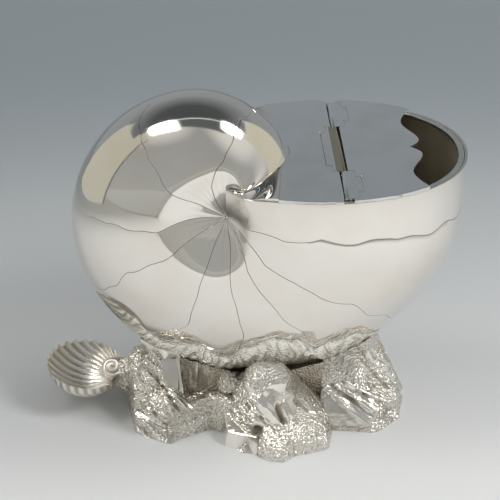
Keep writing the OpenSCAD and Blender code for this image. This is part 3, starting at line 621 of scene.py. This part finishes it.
def crag_reach(ray, facets, heart):
    """Reach of a convex crag, its facets met in slightly rounded edges, and each facet's share."""
    normal, distance, across = facet_planes(facets, heart)
    pull = (np.maximum(ray @ normal.T, 1e-9) / distance) ** EDGE
    total = pull.sum(-1) + CRAG_MOST ** -EDGE
    return total ** (-1 / EDGE), pull / total[..., None], across


def lump_reach(ray, centre, radii, heart):
    """Far crossing of each ray with an ellipsoid, or 0 where it passes by."""
    d, o = ray / np.array(radii), (np.array(heart) - centre) / np.array(radii)
    a, b, c = (d * d).sum(-1), (d * o).sum(-1), (o * o).sum(-1) - 1
    return np.maximum(0, (-b + np.sqrt(np.maximum(b * b - a * c, 0))) / a) * (b * b > a * c)


def under_shell(p):
    """True where points of the table frame lie outside the body of the shell and its saddle."""
    x, y, z = p[..., 0], np.abs(p[..., 1]), p[..., 2] - AXIS_H
    t, r = np.degrees(np.arctan2(-z, x)) % 360, np.hypot(x, z)
    centre, span, _, width = section(t, ROUND_BODY, SEAT_GROW)
    return (np.abs(r - centre) / span) ** ROUND_BODY + (y / width) ** ROUND_BODY > 1


def from_stroke(ray, reach, heart, start, end):
    """Distance over the rock from the line between two places, both seen from the heart."""
    start, end = (np.subtract(place, heart) / np.linalg.norm(np.subtract(place, heart)) for place in (start, end))
    run = end - start
    share = np.clip((ray - start) @ run / (run @ run), 0, 1)
    near = start + share[..., None] * run
    return reach * np.linalg.norm(ray - near / np.linalg.norm(near, axis=-1, keepdims=True), axis=-1)


def rock(name, heart, crags, lumps, pits, strokes, front_share, stands_for, seed):
    """Rock round its heart: the greatest reach over crags and lumps, then finished and footed.

    A pit is (centre, radius, depth), and a stroke (start, end, half width, height), a polished
    ridge where its height is positive and else a groove. front_share is the share of columns on
    the front half.
    """
    heart = np.array(heart, float)
    front = np.linspace(180, 360, int(ROCK_COLS * front_share), endpoint=False)
    rear = np.linspace(0, 180, ROCK_COLS - len(front), endpoint=False)
    turn = np.radians(np.concatenate([rear, front]))[:, None]
    rise = np.radians(np.concatenate([np.linspace(-90, FOOT_LOW, FOOT_ROWS, endpoint=False),
                                      np.linspace(FOOT_LOW, 90, ROCK_ROWS - FOOT_ROWS)]))[None, :]
    ray = sphere_rays(turn, rise)
    shapes = []
    for crag in crags:
        facets = [(finish, *facet) for finish, rows in crag.items() for facet in rows]
        reach, share, across = crag_reach(ray, facets, heart)
        shapes.append((reach, [(f[0], share[..., k], across[k]) for k, f in enumerate(facets)]))
    for finish, centre, radii in lumps:
        shapes.append((lump_reach(ray, centre, radii, heart), [(finish, np.ones(ray.shape[:2]), LUMP_GRAIN)]))
    reaches = np.stack([s[0] for s in shapes])
    reach, top = reaches.max(0), reaches.argmax(0)
    steps = np.linspace(SEAT_FROM, 1, SEAT_STEPS)
    clear = np.stack([under_shell(heart + ray * (reach * f)[..., None]) for f in steps])
    reach = reach * np.where(clear.all(0), 1.0, steps[np.maximum(np.argmin(clear, 0) - 1, 0)])
    second = np.sort(reaches, 0)[-2]
    p = heart + ray * reach[..., None]
    height, polish = np.zeros_like(reach), np.zeros_like(reach)
    for k, (_, finishes) in enumerate(shapes):
        for finish, share, across in finishes:
            part = (top == k) & (share > SHARE_LEAST)
            height[part] += share[part] * finish_height(finish, p[part] + seed * 31.0, across)
            polish[part] += share[part] * (finish == "smooth")
    height += SWELL_H * clouds(p / SWELL_MM + seed)
    for centre, radius, depth in pits:
        height -= depth * np.exp(-((p - centre) ** 2).sum(-1) / radius ** 2)
    for start, end, half, rise in strokes:
        stroke = np.maximum(0, 1 - from_stroke(ray, reach, heart, start, end) / half)
        height += rise * stroke
        polish = np.maximum(polish, np.minimum(1, 2 * stroke))
    table = heart[2] / np.maximum(-ray[..., 2], 1e-6)
    p = heart + ray * np.minimum(reach + height, table)[..., None] + [AXIS[0], 0, 0]
    crease = np.exp(-np.maximum(reach - second, 0) / CREASE_MM)
    # Painted shade and dirt in the crevice mark: darker where the finish sits low and where two crags meet.
    shade = np.clip(-0.05 - 0.7 * height + 0.35 * crease, 0, 0.8)
    cast(name, np.clip(p, BOX_LOW, BOX_HIGH), stands_for, "cast_silver", shade, polish)


# Polished faces under the dome of the front rock, which the back rock has in mirror image
DOME = {"smooth": [(256, 21, 4.4, 25), (285, 14, 9.6, 12.7), (309, 32, 13, 12), (275, 58, 3.4, 26.5),
        (90, 4, 15, 10)], "waves": [(217, 24, 11, 11.5, 75)], "striae": [(345, 20, 14, 13, 70),
        (190, 14, 15, 9, 70)], "stipple": [(200, 50, 7, 24), (345, 50, 8, 24)]}
rock("rock_front_cast", (17, -32, 9), [
    # Nose of the toe
    {"stipple": [(226, 12, 13.5), (259, 12, 18), (307, 14, 18.5), (265, 50, 9.5, 12.5), (215, 45, 8, 11),
     (320, 48, 11, 12)], "smooth": [(90, 5, 15), (0, 20, 18), (180, 20, 12)]},
    # Right shelf
    {"stipple": [(287, 12, 17.5), (250, 40, 8, 8)], "striae": [(349, 8, 26.8, 0, 60),
     (300, 46, 13.5, 11.5, 80), (345, 42, 19, 12, 20)], "smooth": [(90, 5, 15), (200, 20, 8)]},
    # Left block
    {"smooth": [(239, 8, 14.4), (186, 8, 19), (232, 66, 10, 9), (300, 12, 9), (90, 5, 15), (20, 10, 6)]},
    # Ledge towards the left rock
    {"waves": [(236, 8, 7.6, 0, 60)], "smooth": [(180, 4, 27.5), (0, 10, 6), (300, 10, 6), (90, 5, 15)],
     "stipple": [(200, 80, 20, 15)]},
    DOME],
    [("stipple", (17, -27.5, 26), (10.5, 8, 9.5))], [((11.5, -41, 9), 2.6, 3.0)],
    [((8.5, -31.5, 22.8), (22.3, -41.9, 12.6), 2.4, 1.5), ((6, -33, 20), (19, -42, 10.5), 1.2, -1.2),
     ((21, -38.4, 20.4), (23.1, -40.2, 13.4), 2.0, -2.2), ((24.5, -36.6, 21), (29.5, -40, 12.1), 1.3, 1.2),
     ((15.9, -35.5, 26.1), (24, -33.5, 26), 1.5, 1.2), ((30, -33, 20), (32.5, -33.5, 13), 2.2, -1.2),
     ((33, -31, 19), (37, -33, 11), 1.3, 1.1)], 0.75, ["rock_front"], 1)
rock("rock_left_cast", (-26, -10, 8), [
    # Plinth
    {"stipple": [(215, 4, 13.7), (296, 4, 22), (188, 4, 15), (140, 8, 22), (75, 8, 34), (100, 70, 24, 9)],
     "smooth": [(0, 4, 19.5)], "planks": [(219, 58, 11, 7.5, 80)], "striae": [(292, 62, 18, 8, 30)]},
    # Ledge towards the front rock
    {"waves": [(294, 12, 21.3, 0, 70)], "smooth": [(0, 4, 19.5), (240, 12, 16), (90, 10, 8), (180, 10, 8)],
     "stipple": [(180, 82, -12, 14.5)]},
    # Recess beside the pedestal, darkened by the painted shade of its low finish
    {"recess": [(274, 10, 8.5, 15)], "smooth": [(0, 4, 28), (90, 4, 27), (180, 10, 8)],
     "stipple": [(90, 84, 4, 31)]},
    # Upper crag
    {"smooth": [(277, 32, 4.6, 33), (335, 10, 9, 24), (20, 10, 10, 20)], "stipple": [(200, 38, 7.8, 30.5),
     (188, 4, 15.2, 12), (250, 74, 2, 36), (90, 10, 14, 20), (160, 30, 12, 28)],
     "planks": [(236, 26, 9.5, 24, 70)]},
    # Rear crag
    {"stipple": [(170, 8, 15, 10), (100, 66, 18, 32)], "planks": [(130, 30, 24, 16, 60)],
     "smooth": [(84, 26, 28, 16), (45, 14, 24, 16), (0, 4, 19.5), (230, 8, 8, 10), (300, 8, 8, 10)]}],
    [("waves", (-27, -24, 13), (9, 8.5, 8.5)), ("stipple", (-37.5, -6, 18), (5.2, 9, 13))],
    [((-24, -31, 15), 1.6, 1.2)],
    [((-20.6, -15.1, 30.8), (-16.1, -26.4, 12), 1.3, 1.5), ((-27.8, -20.4, 22.8), (-18.3, -27.5, 13.3), 1.3, 1.4),
     ((-27.9, -25.8, 21.2), (-23.5, -32.1, 13), 1.3, 1.3), ((-27.8, -23, 22), (-20.9, -30, 13.2), 1.1, -1.3),
     ((-16.1, -26.6, 12.8), (-8, -23, 15.5), 1.2, 1.3), ((-34.4, -25.3, 17.6), (-26.6, -31.1, 6.8), 1.2, -1.5),
     ((-39.3, -21.8, 8.2), (-26.7, -31.7, 5.7), 1.2, -1.4), ((-37, -23.6, 12.5), (-27, -31.5, 6.2), 1.1, 1.1),
     ((-31, -20, 27), (-29, -24, 18), 1.0, -1.0)], 0.68, ["rock_left"], 2)
rock("rock_right_cast", (58, -6, 9), [
    # Low polished face and stippled border
    {"smooth": [(262, 14, 24.3), (98, 14, 36), (180, 3, 17.2), (262, 44, 18, 13)], "stipple": [(304, 14, 22.8),
     (331, 12, 19.2), (346, 12, 19), (20, 14, 19), (60, 14, 30), (325, 40, 16, 11), (60, 55, 20, 12)]},
    # Upper crag
    {"stipple": [(262, 28, 8.3, 31), (90, 8, 14, 20), (200, 72, 4, 34), (30, 66, 6, 32)],
     "planks": [(279, 34, 16, 17, 60)], "striae": [(312, 32, 15, 13, 60), (348, 20, 13.6, 17, 70),
     (325, 40, 7.5, 28, 60), (20, 20, 14, 17, 70)], "smooth": [(180, 4, 17.2, 18)]},
    # Rear crag
    {"stipple": [(98, 26, 26, 20), (130, 20, 24, 18), (90, 70, 14, 32), (250, 8, 8, 10), (320, 8, 10, 10)],
     "striae": [(60, 30, 24, 18, 60), (25, 24, 16, 16, 60)], "smooth": [(180, 4, 17.2, 18)]}],
    [("stipple", (67, -15, 7), (8, 8, 7))], [],
    [((42.6, -20.4, 16.1), (60.6, -29.8, 4.1), 1.5, 1.7), ((44, -20.4, 18), (62, -27.8, 7), 1.2, -1.4),
     ((47, -20.3, 17.5), (64.5, -25, 8.5), 1.2, 1.3), ((49.5, -20, 19.5), (66, -23, 10), 1.0, -1.0),
     ((51.6, -20.3, 18.4), (67, -21.5, 11.1), 1.3, 1.5), ((61.5, -13, 29), (72.7, -10.5, 13), 1.2, 1.2),
     ((59, -14, 27), (70, -16, 13), 1.0, -1.2), ((64, -11, 29), (74, -7, 14), 1.0, -1.2)], 0.68, ["rock_right"], 3)
rock("rock_back_cast", (17, 32, 9), [
    # Toe
    {"stipple": [(134, 12, 14), (100, 12, 18), (53, 14, 18.5), (95, 50, 9.5, 12.5), (145, 45, 9, 11),
     (40, 48, 11, 12)], "smooth": [(270, 5, 15), (0, 20, 20), (180, 20, 18)]},
    {finish: [(360 - az, *rest) for az, *rest in facets] for finish, facets in DOME.items()}],
    [("stipple", (16, 27.5, 26), (10.5, 8, 9.5))], [], [], 0.3, ["rock_back"], 4)

# Urchin beside the front rock, and the stub that joins the handle to the left rock
BALL_N, BALL_GRAIN, GRAIN_H = 120, 1.3, 0.5


def stippled_ball(name, middle, radii, stands_for):
    """Ellipsoid covered with round grains."""
    turn = np.linspace(0, 2 * np.pi, 2 * BALL_N, endpoint=False)[:, None]
    rise = np.linspace(-np.pi / 2, np.pi / 2, BALL_N)[None, :]
    ray = sphere_rays(turn, rise)
    grains = pebbles(ray * radii / BALL_GRAIN)
    skin = middle + ray * (radii + GRAIN_H * (grains - 1)[..., None])
    # Painted shade and dirt in the crevice mark: darker between the grains.
    cast(name, skin, stands_for, "cast_silver", 0.5 - 0.6 * grains, 0 * grains)


urchin_low, urchin_high = (np.array(c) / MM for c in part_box("urchin"))
urchin_r = (urchin_high[0] - urchin_low[0]) / 2
stippled_ball("urchin_stippled", urchin_low + urchin_r, np.full(3, urchin_r), ["urchin"])
NECK, NECK_R = np.array([-43.0, -1.0, 14.0]), np.array([6.5, 6.0, 8.5])
stippled_ball("handle_neck_cast", NECK + [AXIS[0], 0, 0], NECK_R, ["handle_neck"])

# Saddle: weed that hugs the shell, with a thick rolled edge. Its height up the section waves along
# the coil, at the (coil angle, share) places chosen here.
WEED = ((46, 0.17), (49, 0.34), (57, 0.37), (61, 0.36), (64, 0.46), (72, 0.50), (83, 0.45), (91, 0.34),
        (100, 0.41), (114, 0.29), (125, 0.33), (132, 0.30), (137, 0.22))
WEED_T, ROLL_T, ROLL_FROM, WEED_SEAT = 1.2, 1.9, 0.66, 0.04
CURL_T, CURL_A, CURL_R, CURL_W = 63.5, 0.40, 2.4, 0.9
SADDLE_COLS, SADDLE_ROWS = 420, 96
# Tips of the weed as (share of its length, power), its blades, and where it darkens towards the handle
TIP_RIGHT, TIP_LEFT = (0.12, 0.6), (0.38, 0.8)
BLADES, BLADE_LEAN, BLADE_H, WEED_GRAIN = 26, 2.2, 0.34, 1.3
DARK, DARK_FROM, DARK_OVER = 0.45, 0.7, 0.2


def weed_edge(t):
    """Share of the section that the weed reaches at coil angle t: eased from place to place."""
    angles, shares = np.array(WEED, float).T
    k = np.clip(np.searchsorted(angles, t) - 1, 0, len(angles) - 2)
    return shares[k] + (shares[k + 1] - shares[k]) * ease((t - angles[k]) / (angles[k + 1] - angles[k]))


u = np.linspace(0, 1, SADDLE_COLS)[:, None]
s = np.linspace(-1, 1, SADDLE_ROWS)[None, :]
weed_t = WEED[0][0] + (WEED[-1][0] - WEED[0][0]) * u + 0 * s
weed_a, weed_side = np.abs(s) * weed_edge(weed_t), np.where(s < 0, -1, 1)
weed_in = shell_point(weed_t, weed_a, WEED_SEAT, weed_side)
roll = np.sqrt(np.clip(1 - ((np.abs(s) - (1 + ROLL_FROM) / 2) / ((1 - ROLL_FROM) / 2)) ** 2, 0, 1))
tips = np.minimum((u / TIP_RIGHT[0]) ** TIP_RIGHT[1], ((1 - u) / TIP_LEFT[0]) ** TIP_LEFT[1])
blade = 2 * np.pi * (BLADES * u + BLADE_LEAN * np.abs(s) + 0.6 * rough(weed_in / 8))
hatch = (0.5 * np.sin(blade) + 0.25 * np.sin(2.7 * blade + 9 * np.abs(s))
         + 0.5 * (pebbles(weed_in / WEED_GRAIN) - 0.5))
curl_at = shell_point(0 * s + CURL_T, 0 * s + CURL_A, 0.0, weed_side)
curl_far = np.linalg.norm(weed_in - curl_at, axis=-1)
curl = np.exp(-((curl_far - CURL_R) / CURL_W) ** 2) - 0.7 * np.exp(-(curl_far / CURL_R) ** 4)
thick = np.minimum(1, tips) * (WEED_T * (1 - np.abs(s) ** 6) + ROLL_T * roll * (1 + BLADE_H * hatch)
                               + 0.9 * curl * (np.abs(s) < 0.99))
weed_out = shell_point(weed_t, weed_a, WEED_SEAT + np.maximum(0.1, thick), weed_side)
points, faces, _ = sheet(weed_out, weed_in)
# Painted shade and dirt in the crevice mark: darker in the hatch valleys, as a painted shadow on the thin sheet
# under the rolled edge, in the curl's pit and towards the handle end; the lining side gets 0.3.
shade = np.clip(-0.05 - 0.6 * hatch + 0.35 * (1 - roll) * (np.abs(s) < ROLL_FROM) - 0.4 * curl
                + DARK * ease((u - DARK_FROM) / DARK_OVER), 0, 0.85)
build("saddle_weed", points, faces, [cast_silver], "warmer", ["saddle"], sharp=75,
      marks={"crevice": np.concatenate([shade, 0 * shade + 0.3]), "polish": np.full(len(points), 0.5)})

# Scallop handle: a fluted bowl whose flutes swirl out of a volute near its right end
VOLUTE = np.array([-49.0, -2.0])
BOWL_MID, BOWL_R = np.array([-61.0, 0.0]), np.array([16.3, 19.6])
BOWL_Z, BOWL_LIFT, BOWL_DEPTH, BOWL_T = 20.0, 1.5, 10.0, 1.5
FLUTES, FLUTE_H, FLUTE_SWIRL, RIM_DROP = 42, 0.85, 0.9, 2.2
BOWL_COLS, BOWL_ROWS = 476, 60
p = np.linspace(0, 2 * np.pi, BOWL_COLS, endpoint=False)[:, None]
ray = np.stack([np.cos(p), np.sin(p)], -1)
start = (VOLUTE - BOWL_MID) / BOWL_R
qa, qb, qc = ((ray / BOWL_R) ** 2).sum(-1), (ray / BOWL_R * start).sum(-1), (start ** 2).sum() - 1
rim_reach = (-qb + np.sqrt(qb * qb - qa * qc)) / qa


def bowl(s, drop):
    """Bowl point at share s from the volute to the rim: an ellipsoid's dip, waved by the flutes."""
    wave = 2 * np.abs(np.cos(FLUTES / 2 * (p + FLUTE_SWIRL * (1 - s) * np.sin(p)))) ** 3 - 1
    spread = rim_reach * s * (1 + 0.012 * wave * s ** 4)
    flat = VOLUTE + ray * spread[..., None]
    e = np.minimum(1, (((flat - BOWL_MID) / BOWL_R) ** 2).sum(-1))
    z = (BOWL_Z + BOWL_LIFT * (BOWL_MID[0] - flat[..., 0]) / BOWL_R[0] - BOWL_DEPTH * (1 - e) ** 0.75
         + FLUTE_H * s * (1 - 0.6 * s ** 4) * (wave - 1) - drop)
    return np.concatenate([flat + [AXIS[0], 0], z[..., None]], -1), wave * s


s = np.linspace(0, 1, BOWL_ROWS)[None, :]
inside, waves_in = bowl(s, 0.0)
outside, waves_out = bowl(s[:, ::-1] * 0.985, BOWL_T + (RIM_DROP - BOWL_T) * s[:, ::-1] ** 6)
skin = np.concatenate([inside, outside], 1)
# Painted shade and dirt in the crevice mark: darker in the troughs of the flutes towards the rim.
shade = np.clip(0.2 - 0.4 * np.concatenate([waves_in, waves_out], 1), 0, 0.7)
cast("handle_bowl", np.maximum(skin, BOX_LOW), ["handle_dish"], "handle_silver", shade, 0 * shade, sharp=60)

# Volute: a spiral ridge on a tilted button
VOLUTE_Z, VOLUTE_R, VOLUTE_T, VOLUTE_PITCH = 18.5, 4.8, 4.0, 2.5
VOLUTE_DOME, VOLUTE_RIDGE, VOLUTE_TILT_X, VOLUTE_TILT_Y = 1.6, 0.9, 32, -8
VOLUTE_COLS, VOLUTE_ROWS = 160, 60
turn = np.linspace(0, 2 * np.pi, VOLUTE_COLS, endpoint=False)[:, None]
r = np.linspace(0, VOLUTE_R, VOLUTE_ROWS)[None, :]
ridge = np.cos(np.pi * (r / VOLUTE_PITCH - turn / (2 * np.pi))) ** 2
rise = VOLUTE_DOME * (1 - (r / VOLUTE_R) ** 2) + VOLUTE_RIDGE * ridge * (1 - (r / VOLUTE_R) ** 8)
face = np.stack([r * np.cos(turn), r * np.sin(turn), rise], -1)
skirt = face[:, -1:, :] * [1, 1, 0] - [0, 0, VOLUTE_T]
tilt = np.array(Matrix.Rotation(math.radians(VOLUTE_TILT_X), 3, "X")
                @ Matrix.Rotation(math.radians(VOLUTE_TILT_Y), 3, "Y"))
button = np.concatenate([face, skirt, 0 * skirt - [0, 0, VOLUTE_T]], 1) @ tilt.T
button = button + [VOLUTE[0] + AXIS[0], VOLUTE[1], VOLUTE_Z]
# Painted shade and dirt in the crevice mark: darker between the turns of the spiral ridge and on the skirt.
shade = np.clip(0.6 - 0.7 * np.concatenate([ridge, 0 * ridge[:, :2]], 1), 0, 0.8)
cast("handle_scroll", button, ["handle_volute"], "handle_silver", shade, 0 * shade, sharp=60)

# CAD nodes that keep their own shape get a finish, and softened edges where they show
FINISH = {"mouth_band": rim_silver, "cover_plate": lid_silver, "lid": lid_silver, "lid_leaf": lid_silver,
          "cover_leaf": leaf_silver, "hinge_pin": hinge_tan, "rock_core": core_silver,
          "fixing_stud": fixing_steel, "fixing_washer": fixing_steel, "fixing_nut": fixing_steel}
SOFT_EDGE = {"cover_plate": 0.18, "lid": 0.22, "lid_leaf": 0.08, "cover_leaf": 0.08, "mouth_band": 0.15}
for name, material in FINISH.items():
    mesh = nodes[name].data
    mesh.materials.clear()
    mesh.materials.append(material)
for name, width in SOFT_EDGE.items():
    nodes[name].modifiers.new("weld", "WELD").merge_threshold = 1e-6
    soft = nodes[name].modifiers.new("soft_edge", "BEVEL")
    soft.width, soft.segments, soft.limit_method, soft.angle_limit = width * MM, 2, "ANGLE", math.radians(40)

# Stage: pale floor with a painted light falloff, a painted shadow line at the table's front edge that only
# reflections see, and the studio round it
FLOOR_R = 3.0
FLOOR_PALE, FLOOR_FAR_FALLOFF, FLOOR_BACK_FALLOFF = (0.88, 0.875, 0.865), (0.42, 0.42, 0.40), (0.285, 0.318, 0.34)
TABLE_FRONT, EDGE_W, CARD_Z, CARD_X = -0.275, 0.008, 0.0005, 0.55
TABLE_EDGE_SHADOW, STUDIO_FRONT = (0.20, 0.19, 0.17), (0.37, 0.375, 0.355)
# Cream cards and the dark edges of the left one, by slope across their wall
LEFT_CARD, LEFT_EDGE, LEFT_REAR, RIGHT_CARD = (-0.30, 0.76), (-0.33, -0.30), (0.76, 0.80), (0.05, 0.70)
CREAM_LEFT, CREAM_RIGHT, CARD_EDGE = (0.49, 0.48, 0.41), (0.57, 0.555, 0.47), (0.14, 0.145, 0.14)


def stage_plane(name, corners, material):
    """Flat piece of the stage from its corners in metres."""
    mesh = bpy.data.meshes.new(name)
    mesh.from_pydata(corners, [], [tuple(range(len(corners)))])
    mesh.materials.append(material)
    plane = add(name, mesh)
    return plane


paper, paper_tree, paper_shader = new_material("floor_paper")
paper_shader.inputs["Metallic"].default_value = 0.0
paper_shader.inputs["Roughness"].default_value = 0.6
where = object_place(paper_tree)
away = node(paper_tree, "ShaderNodeVectorMath", {0: where}, operation="LENGTH").outputs["Value"]
depth = node(paper_tree, "ShaderNodeSeparateXYZ", {0: where}).outputs[1]
# Painted light falloff: the floor darkens away from the middle and towards the back, where it turns blue-grey.
painted_falloff = mix(paper_tree, smooth_step(paper_tree, away, 0.20, 0.42), FLOOR_PALE, FLOOR_FAR_FALLOFF)
painted_falloff = mix(paper_tree, smooth_step(paper_tree, depth, -0.25, 0.40), painted_falloff, FLOOR_BACK_FALLOFF)
paper_tree.links.new(painted_falloff, paper_shader.inputs["Base Color"])
stage_plane("floor", [(FLOOR_R * i, FLOOR_R * j, 0) for i, j in ((-1, -1), (1, -1), (1, 1), (-1, 1))], paper)


def glow(name, colour):
    """Black material that only shines, for what reflections alone see."""
    material, _, shader = new_material(name)
    shader.inputs["Base Color"].default_value = (0, 0, 0, 1)
    shader.inputs["Emission Color"].default_value = (*colour, 1)
    shader.inputs["Emission Strength"].default_value = 1.0
    return material


def reflected(name, corners, colour):
    """Plane of the stage that only reflections see."""
    card = stage_plane(name, corners, glow(name + "_glow", colour))
    card.visible_camera = card.visible_diffuse = card.visible_shadow = False


# The first strip is a painted shadow line along the table's front edge, seen only in reflections.
for name, near, far, colour in (("table_edge_shadow", TABLE_FRONT + EDGE_W, TABLE_FRONT, TABLE_EDGE_SHADOW),
                                ("studio_front", TABLE_FRONT, -FLOOR_R, STUDIO_FRONT)):
    reflected(name, [(-FLOOR_R, far, CARD_Z), (FLOOR_R, far, CARD_Z), (FLOOR_R, near, CARD_Z),
                     (-FLOOR_R, near, CARD_Z)], colour)
for name, (front, back), colour in (("left_card", LEFT_CARD, CREAM_LEFT),
                                    ("left_card_edge", LEFT_EDGE, CARD_EDGE)):
    reflected(name, [(-CARD_X, front * CARD_X, 0), (-CARD_X, back * CARD_X, 0), (-CARD_X, back * CARD_X, CARD_X),
                     (-CARD_X, front * CARD_X, CARD_X)], colour)

# The studio on the sky: cards and lamps lie by slopes of the direction, with ALL for no limit, and
# the walls' tones run from below (0) to overhead (1)
ALL, SEAM, SEAM_LEAN = 999.0, 0.14, 0.115
WALLS = ((0.0, (0.38, 0.38, 0.36)), (1.0, (0.325, 0.335, 0.335)))
REAR_WALL = ((0.05, (0.33, 0.36, 0.385)), (0.27, (0.285, 0.305, 0.325)), (0.63, (0.27, 0.29, 0.305)),
             (0.80, (0.15, 0.165, 0.175)), (0.88, (0.075, 0.083, 0.09)), (0.98, (0.066, 0.075, 0.08)))
GLOW_RIGHT, GLOW_LEFT = (0.68, 0.68, 0.66), (0.60, 0.60, 0.58)
SLOT_DARK, SEAM_WHITE = (0.10, 0.12, 0.125), (0.9, 0.9, 0.92)
# Lamps: their whole size lights the floor, and reflections see their bright middle. Each is given as
# (from, to, softness) along X and along Y and its brightness, for the one and then for the other.
LAMPS = (((-0.80, -0.32, 0.06), (-0.17, 0.17, 0.05), 4.0, (-0.74, -0.36, 0.14), (-0.17, 0.08, 0.08), 23.0),
         ((0.55, 1.30, 0.08), (-0.08, 0.28, 0.05), 5.0, (0.60, 1.00, 0.16), (0.0, 0.20, 0.09), 32.0))
world = bpy.data.worlds.new("studio")
bpy.context.scene.world = world
world.use_nodes = True
sky = world.node_tree
sky.nodes.clear()
direction = node(sky, "ShaderNodeTexCoord").outputs["Generated"]
x, y, z = node(sky, "ShaderNodeSeparateXYZ", {0: direction}).outputs


def over(value, base):
    """Slope of a value over another kept above nothing, which places a point on a wall or ceiling."""
    return math_node(sky, "DIVIDE", value, math_node(sky, "MAXIMUM", base, 0.02))


def both(a, b):
    return math_node(sky, "MULTIPLY", a, b)


def band(value, low, high, soft):
    """1 where value lies between low and high, with soft edges."""
    rising = smooth_step(sky, value, low - soft, low + soft)
    return both(rising, smooth_step(sky, value, high + soft, high - soft))


def halo(azimuth, elevation, inner, outer):
    """Soft round glow about a direction, with its inner and outer radius in degrees."""
    aim = toward(azimuth, elevation)
    facing = node(sky, "ShaderNodeVectorMath", {0: direction, 1: aim}, operation="DOT_PRODUCT").outputs["Value"]
    return smooth_step(sky, facing, math.cos(math.radians(outer)), math.cos(math.radians(inner)))


ceiling_x, ceiling_y = over(x, z), over(y, z)
left_x = math_node(sky, "MULTIPLY", x, -1.0)
left_y, left_z = over(y, left_x), over(z, left_x)
right_y, right_z = over(y, x), over(z, x)
seam = math_node(sky, "SUBTRACT", ceiling_y, math_node(sky, "MULTIPLY", ceiling_x, SEAM_LEAN))
rear = math_node(sky, "MAXIMUM", both(band(left_y, 0.78, ALL, 0.02), band(right_y, 0.72, ALL, 0.02)),
                 both(band(seam, SEAM, ALL, 0.01), band(z, 0.62, 2, 0.04)))
slot = both(band(ceiling_x, -0.8, 0.6, 0.03),
            both(band(ceiling_y, -0.13, ALL, 0.02), band(seam, -ALL, SEAM, 0.01)))
height = remap(sky, z, -0.5, 1.0)
light = ramp(sky, height, WALLS)
# What stands in front of the walls, each over those before it
for place, colour in (
        (halo(95, 48, 8, 42), GLOW_RIGHT),
        (halo(-88, 62, 8, 32), GLOW_LEFT),
        (both(band(left_y, *LEFT_CARD, 0.015), band(left_z, -ALL, 1.05, 0.05)), CREAM_LEFT),
        (both(band(right_y, *RIGHT_CARD, 0.02), band(right_z, -ALL, 0.80, 0.05)), CREAM_RIGHT),
        (both(band(left_y, *LEFT_EDGE, 0.01), band(left_z, -ALL, 1.0, 0.05)), CARD_EDGE),
        (both(band(left_y, *LEFT_REAR, 0.01), band(left_z, -ALL, 1.0, 0.05)), CARD_EDGE),
        (rear, ramp(sky, height, REAR_WALL)),
        (both(slot, band(z, 0.6, 2, 0.02)), SLOT_DARK),
        (both(band(seam, SEAM - 0.015, SEAM + 0.01, 0.008), band(z, 0.75, 2, 0.02)), SEAM_WHITE)):
    light = mix(sky, place, light, colour)
glossy = node(sky, "ShaderNodeLightPath").outputs["Is Glossy Ray"]
dull = math_node(sky, "SUBTRACT", 1.0, glossy)
for lamp in LAMPS:
    for seen, (along_x, along_y, bright) in ((dull, lamp[:3]), (glossy, lamp[3:])):
        place = both(band(ceiling_x, *along_x), band(ceiling_y, *along_y))
        light = mix(sky, both(place, seen), light, (bright,) * 3)
shine = node(sky, "ShaderNodeBackground", {"Color": light, "Strength": 1.0})
sky.links.new(shine.outputs[0], node(sky, "ShaderNodeOutputWorld").inputs["Surface"])

# Studio lights that reflections don't see: a key from the front right, and a broad fill from above
KEY_AZ, KEY_EL, KEY_FAR, KEY_SIZE, KEY_W = 57.0, 45.0, 1.2, 0.35, 5.6
FILL_EL, FILL_FAR, FILL_SIZE, FILL_W = 89.9, 1.2, 1.4, 1.75


def studio_light(name, azimuth, elevation, far, size, watts):
    """Square light that faces the origin from azimuth and elevation."""
    way = toward(azimuth, elevation)
    data = bpy.data.lights.new(name, "AREA")
    data.size, data.energy = size, watts
    lamp = add(name, data)
    lamp.location = way * far
    lamp.rotation_euler = way.to_track_quat("Z", "Y").to_euler()
    lamp.visible_glossy = False


studio_light("key", KEY_AZ, KEY_EL, KEY_FAR, KEY_SIZE, KEY_W)
studio_light("fill", 0.0, FILL_EL, FILL_FAR, FILL_SIZE, FILL_W)

# Camera: azimuth and elevation of the photograph, its distance, and its focal length in pixels
CAM_AZ, CAM_EL, CAM_DIST, FOCAL_PX, FRAME_PX = -3.26, 30.0, 897.8, 2151.9, 500
AXIS_PX, SENSOR_MM = (223.3, 177.3), 36.0
backward, rightward = toward(CAM_AZ, CAM_EL), toward(CAM_AZ + 90, 0)
upward = backward.cross(rightward)
px = CAM_DIST / FOCAL_PX
aim = Vector(AXIS) + (FRAME_PX / 2 - AXIS_PX[0]) * px * rightward + (AXIS_PX[1] - FRAME_PX / 2) * px * upward
camera = add("camera", bpy.data.cameras.new("camera"))
camera.data.sensor_width = SENSOR_MM
camera.data.lens = SENSOR_MM * FOCAL_PX / FRAME_PX
camera.data.clip_start, camera.data.clip_end = 0.05, 20.0
turn = Matrix((rightward, upward, backward)).transposed()
camera.matrix_world = Matrix.Translation((aim + CAM_DIST * backward) * MM) @ turn.to_4x4()
bpy.context.scene.camera = camera
bpy.context.scene.view_settings.view_transform = "Standard"

bpy.context.view_layer.update()
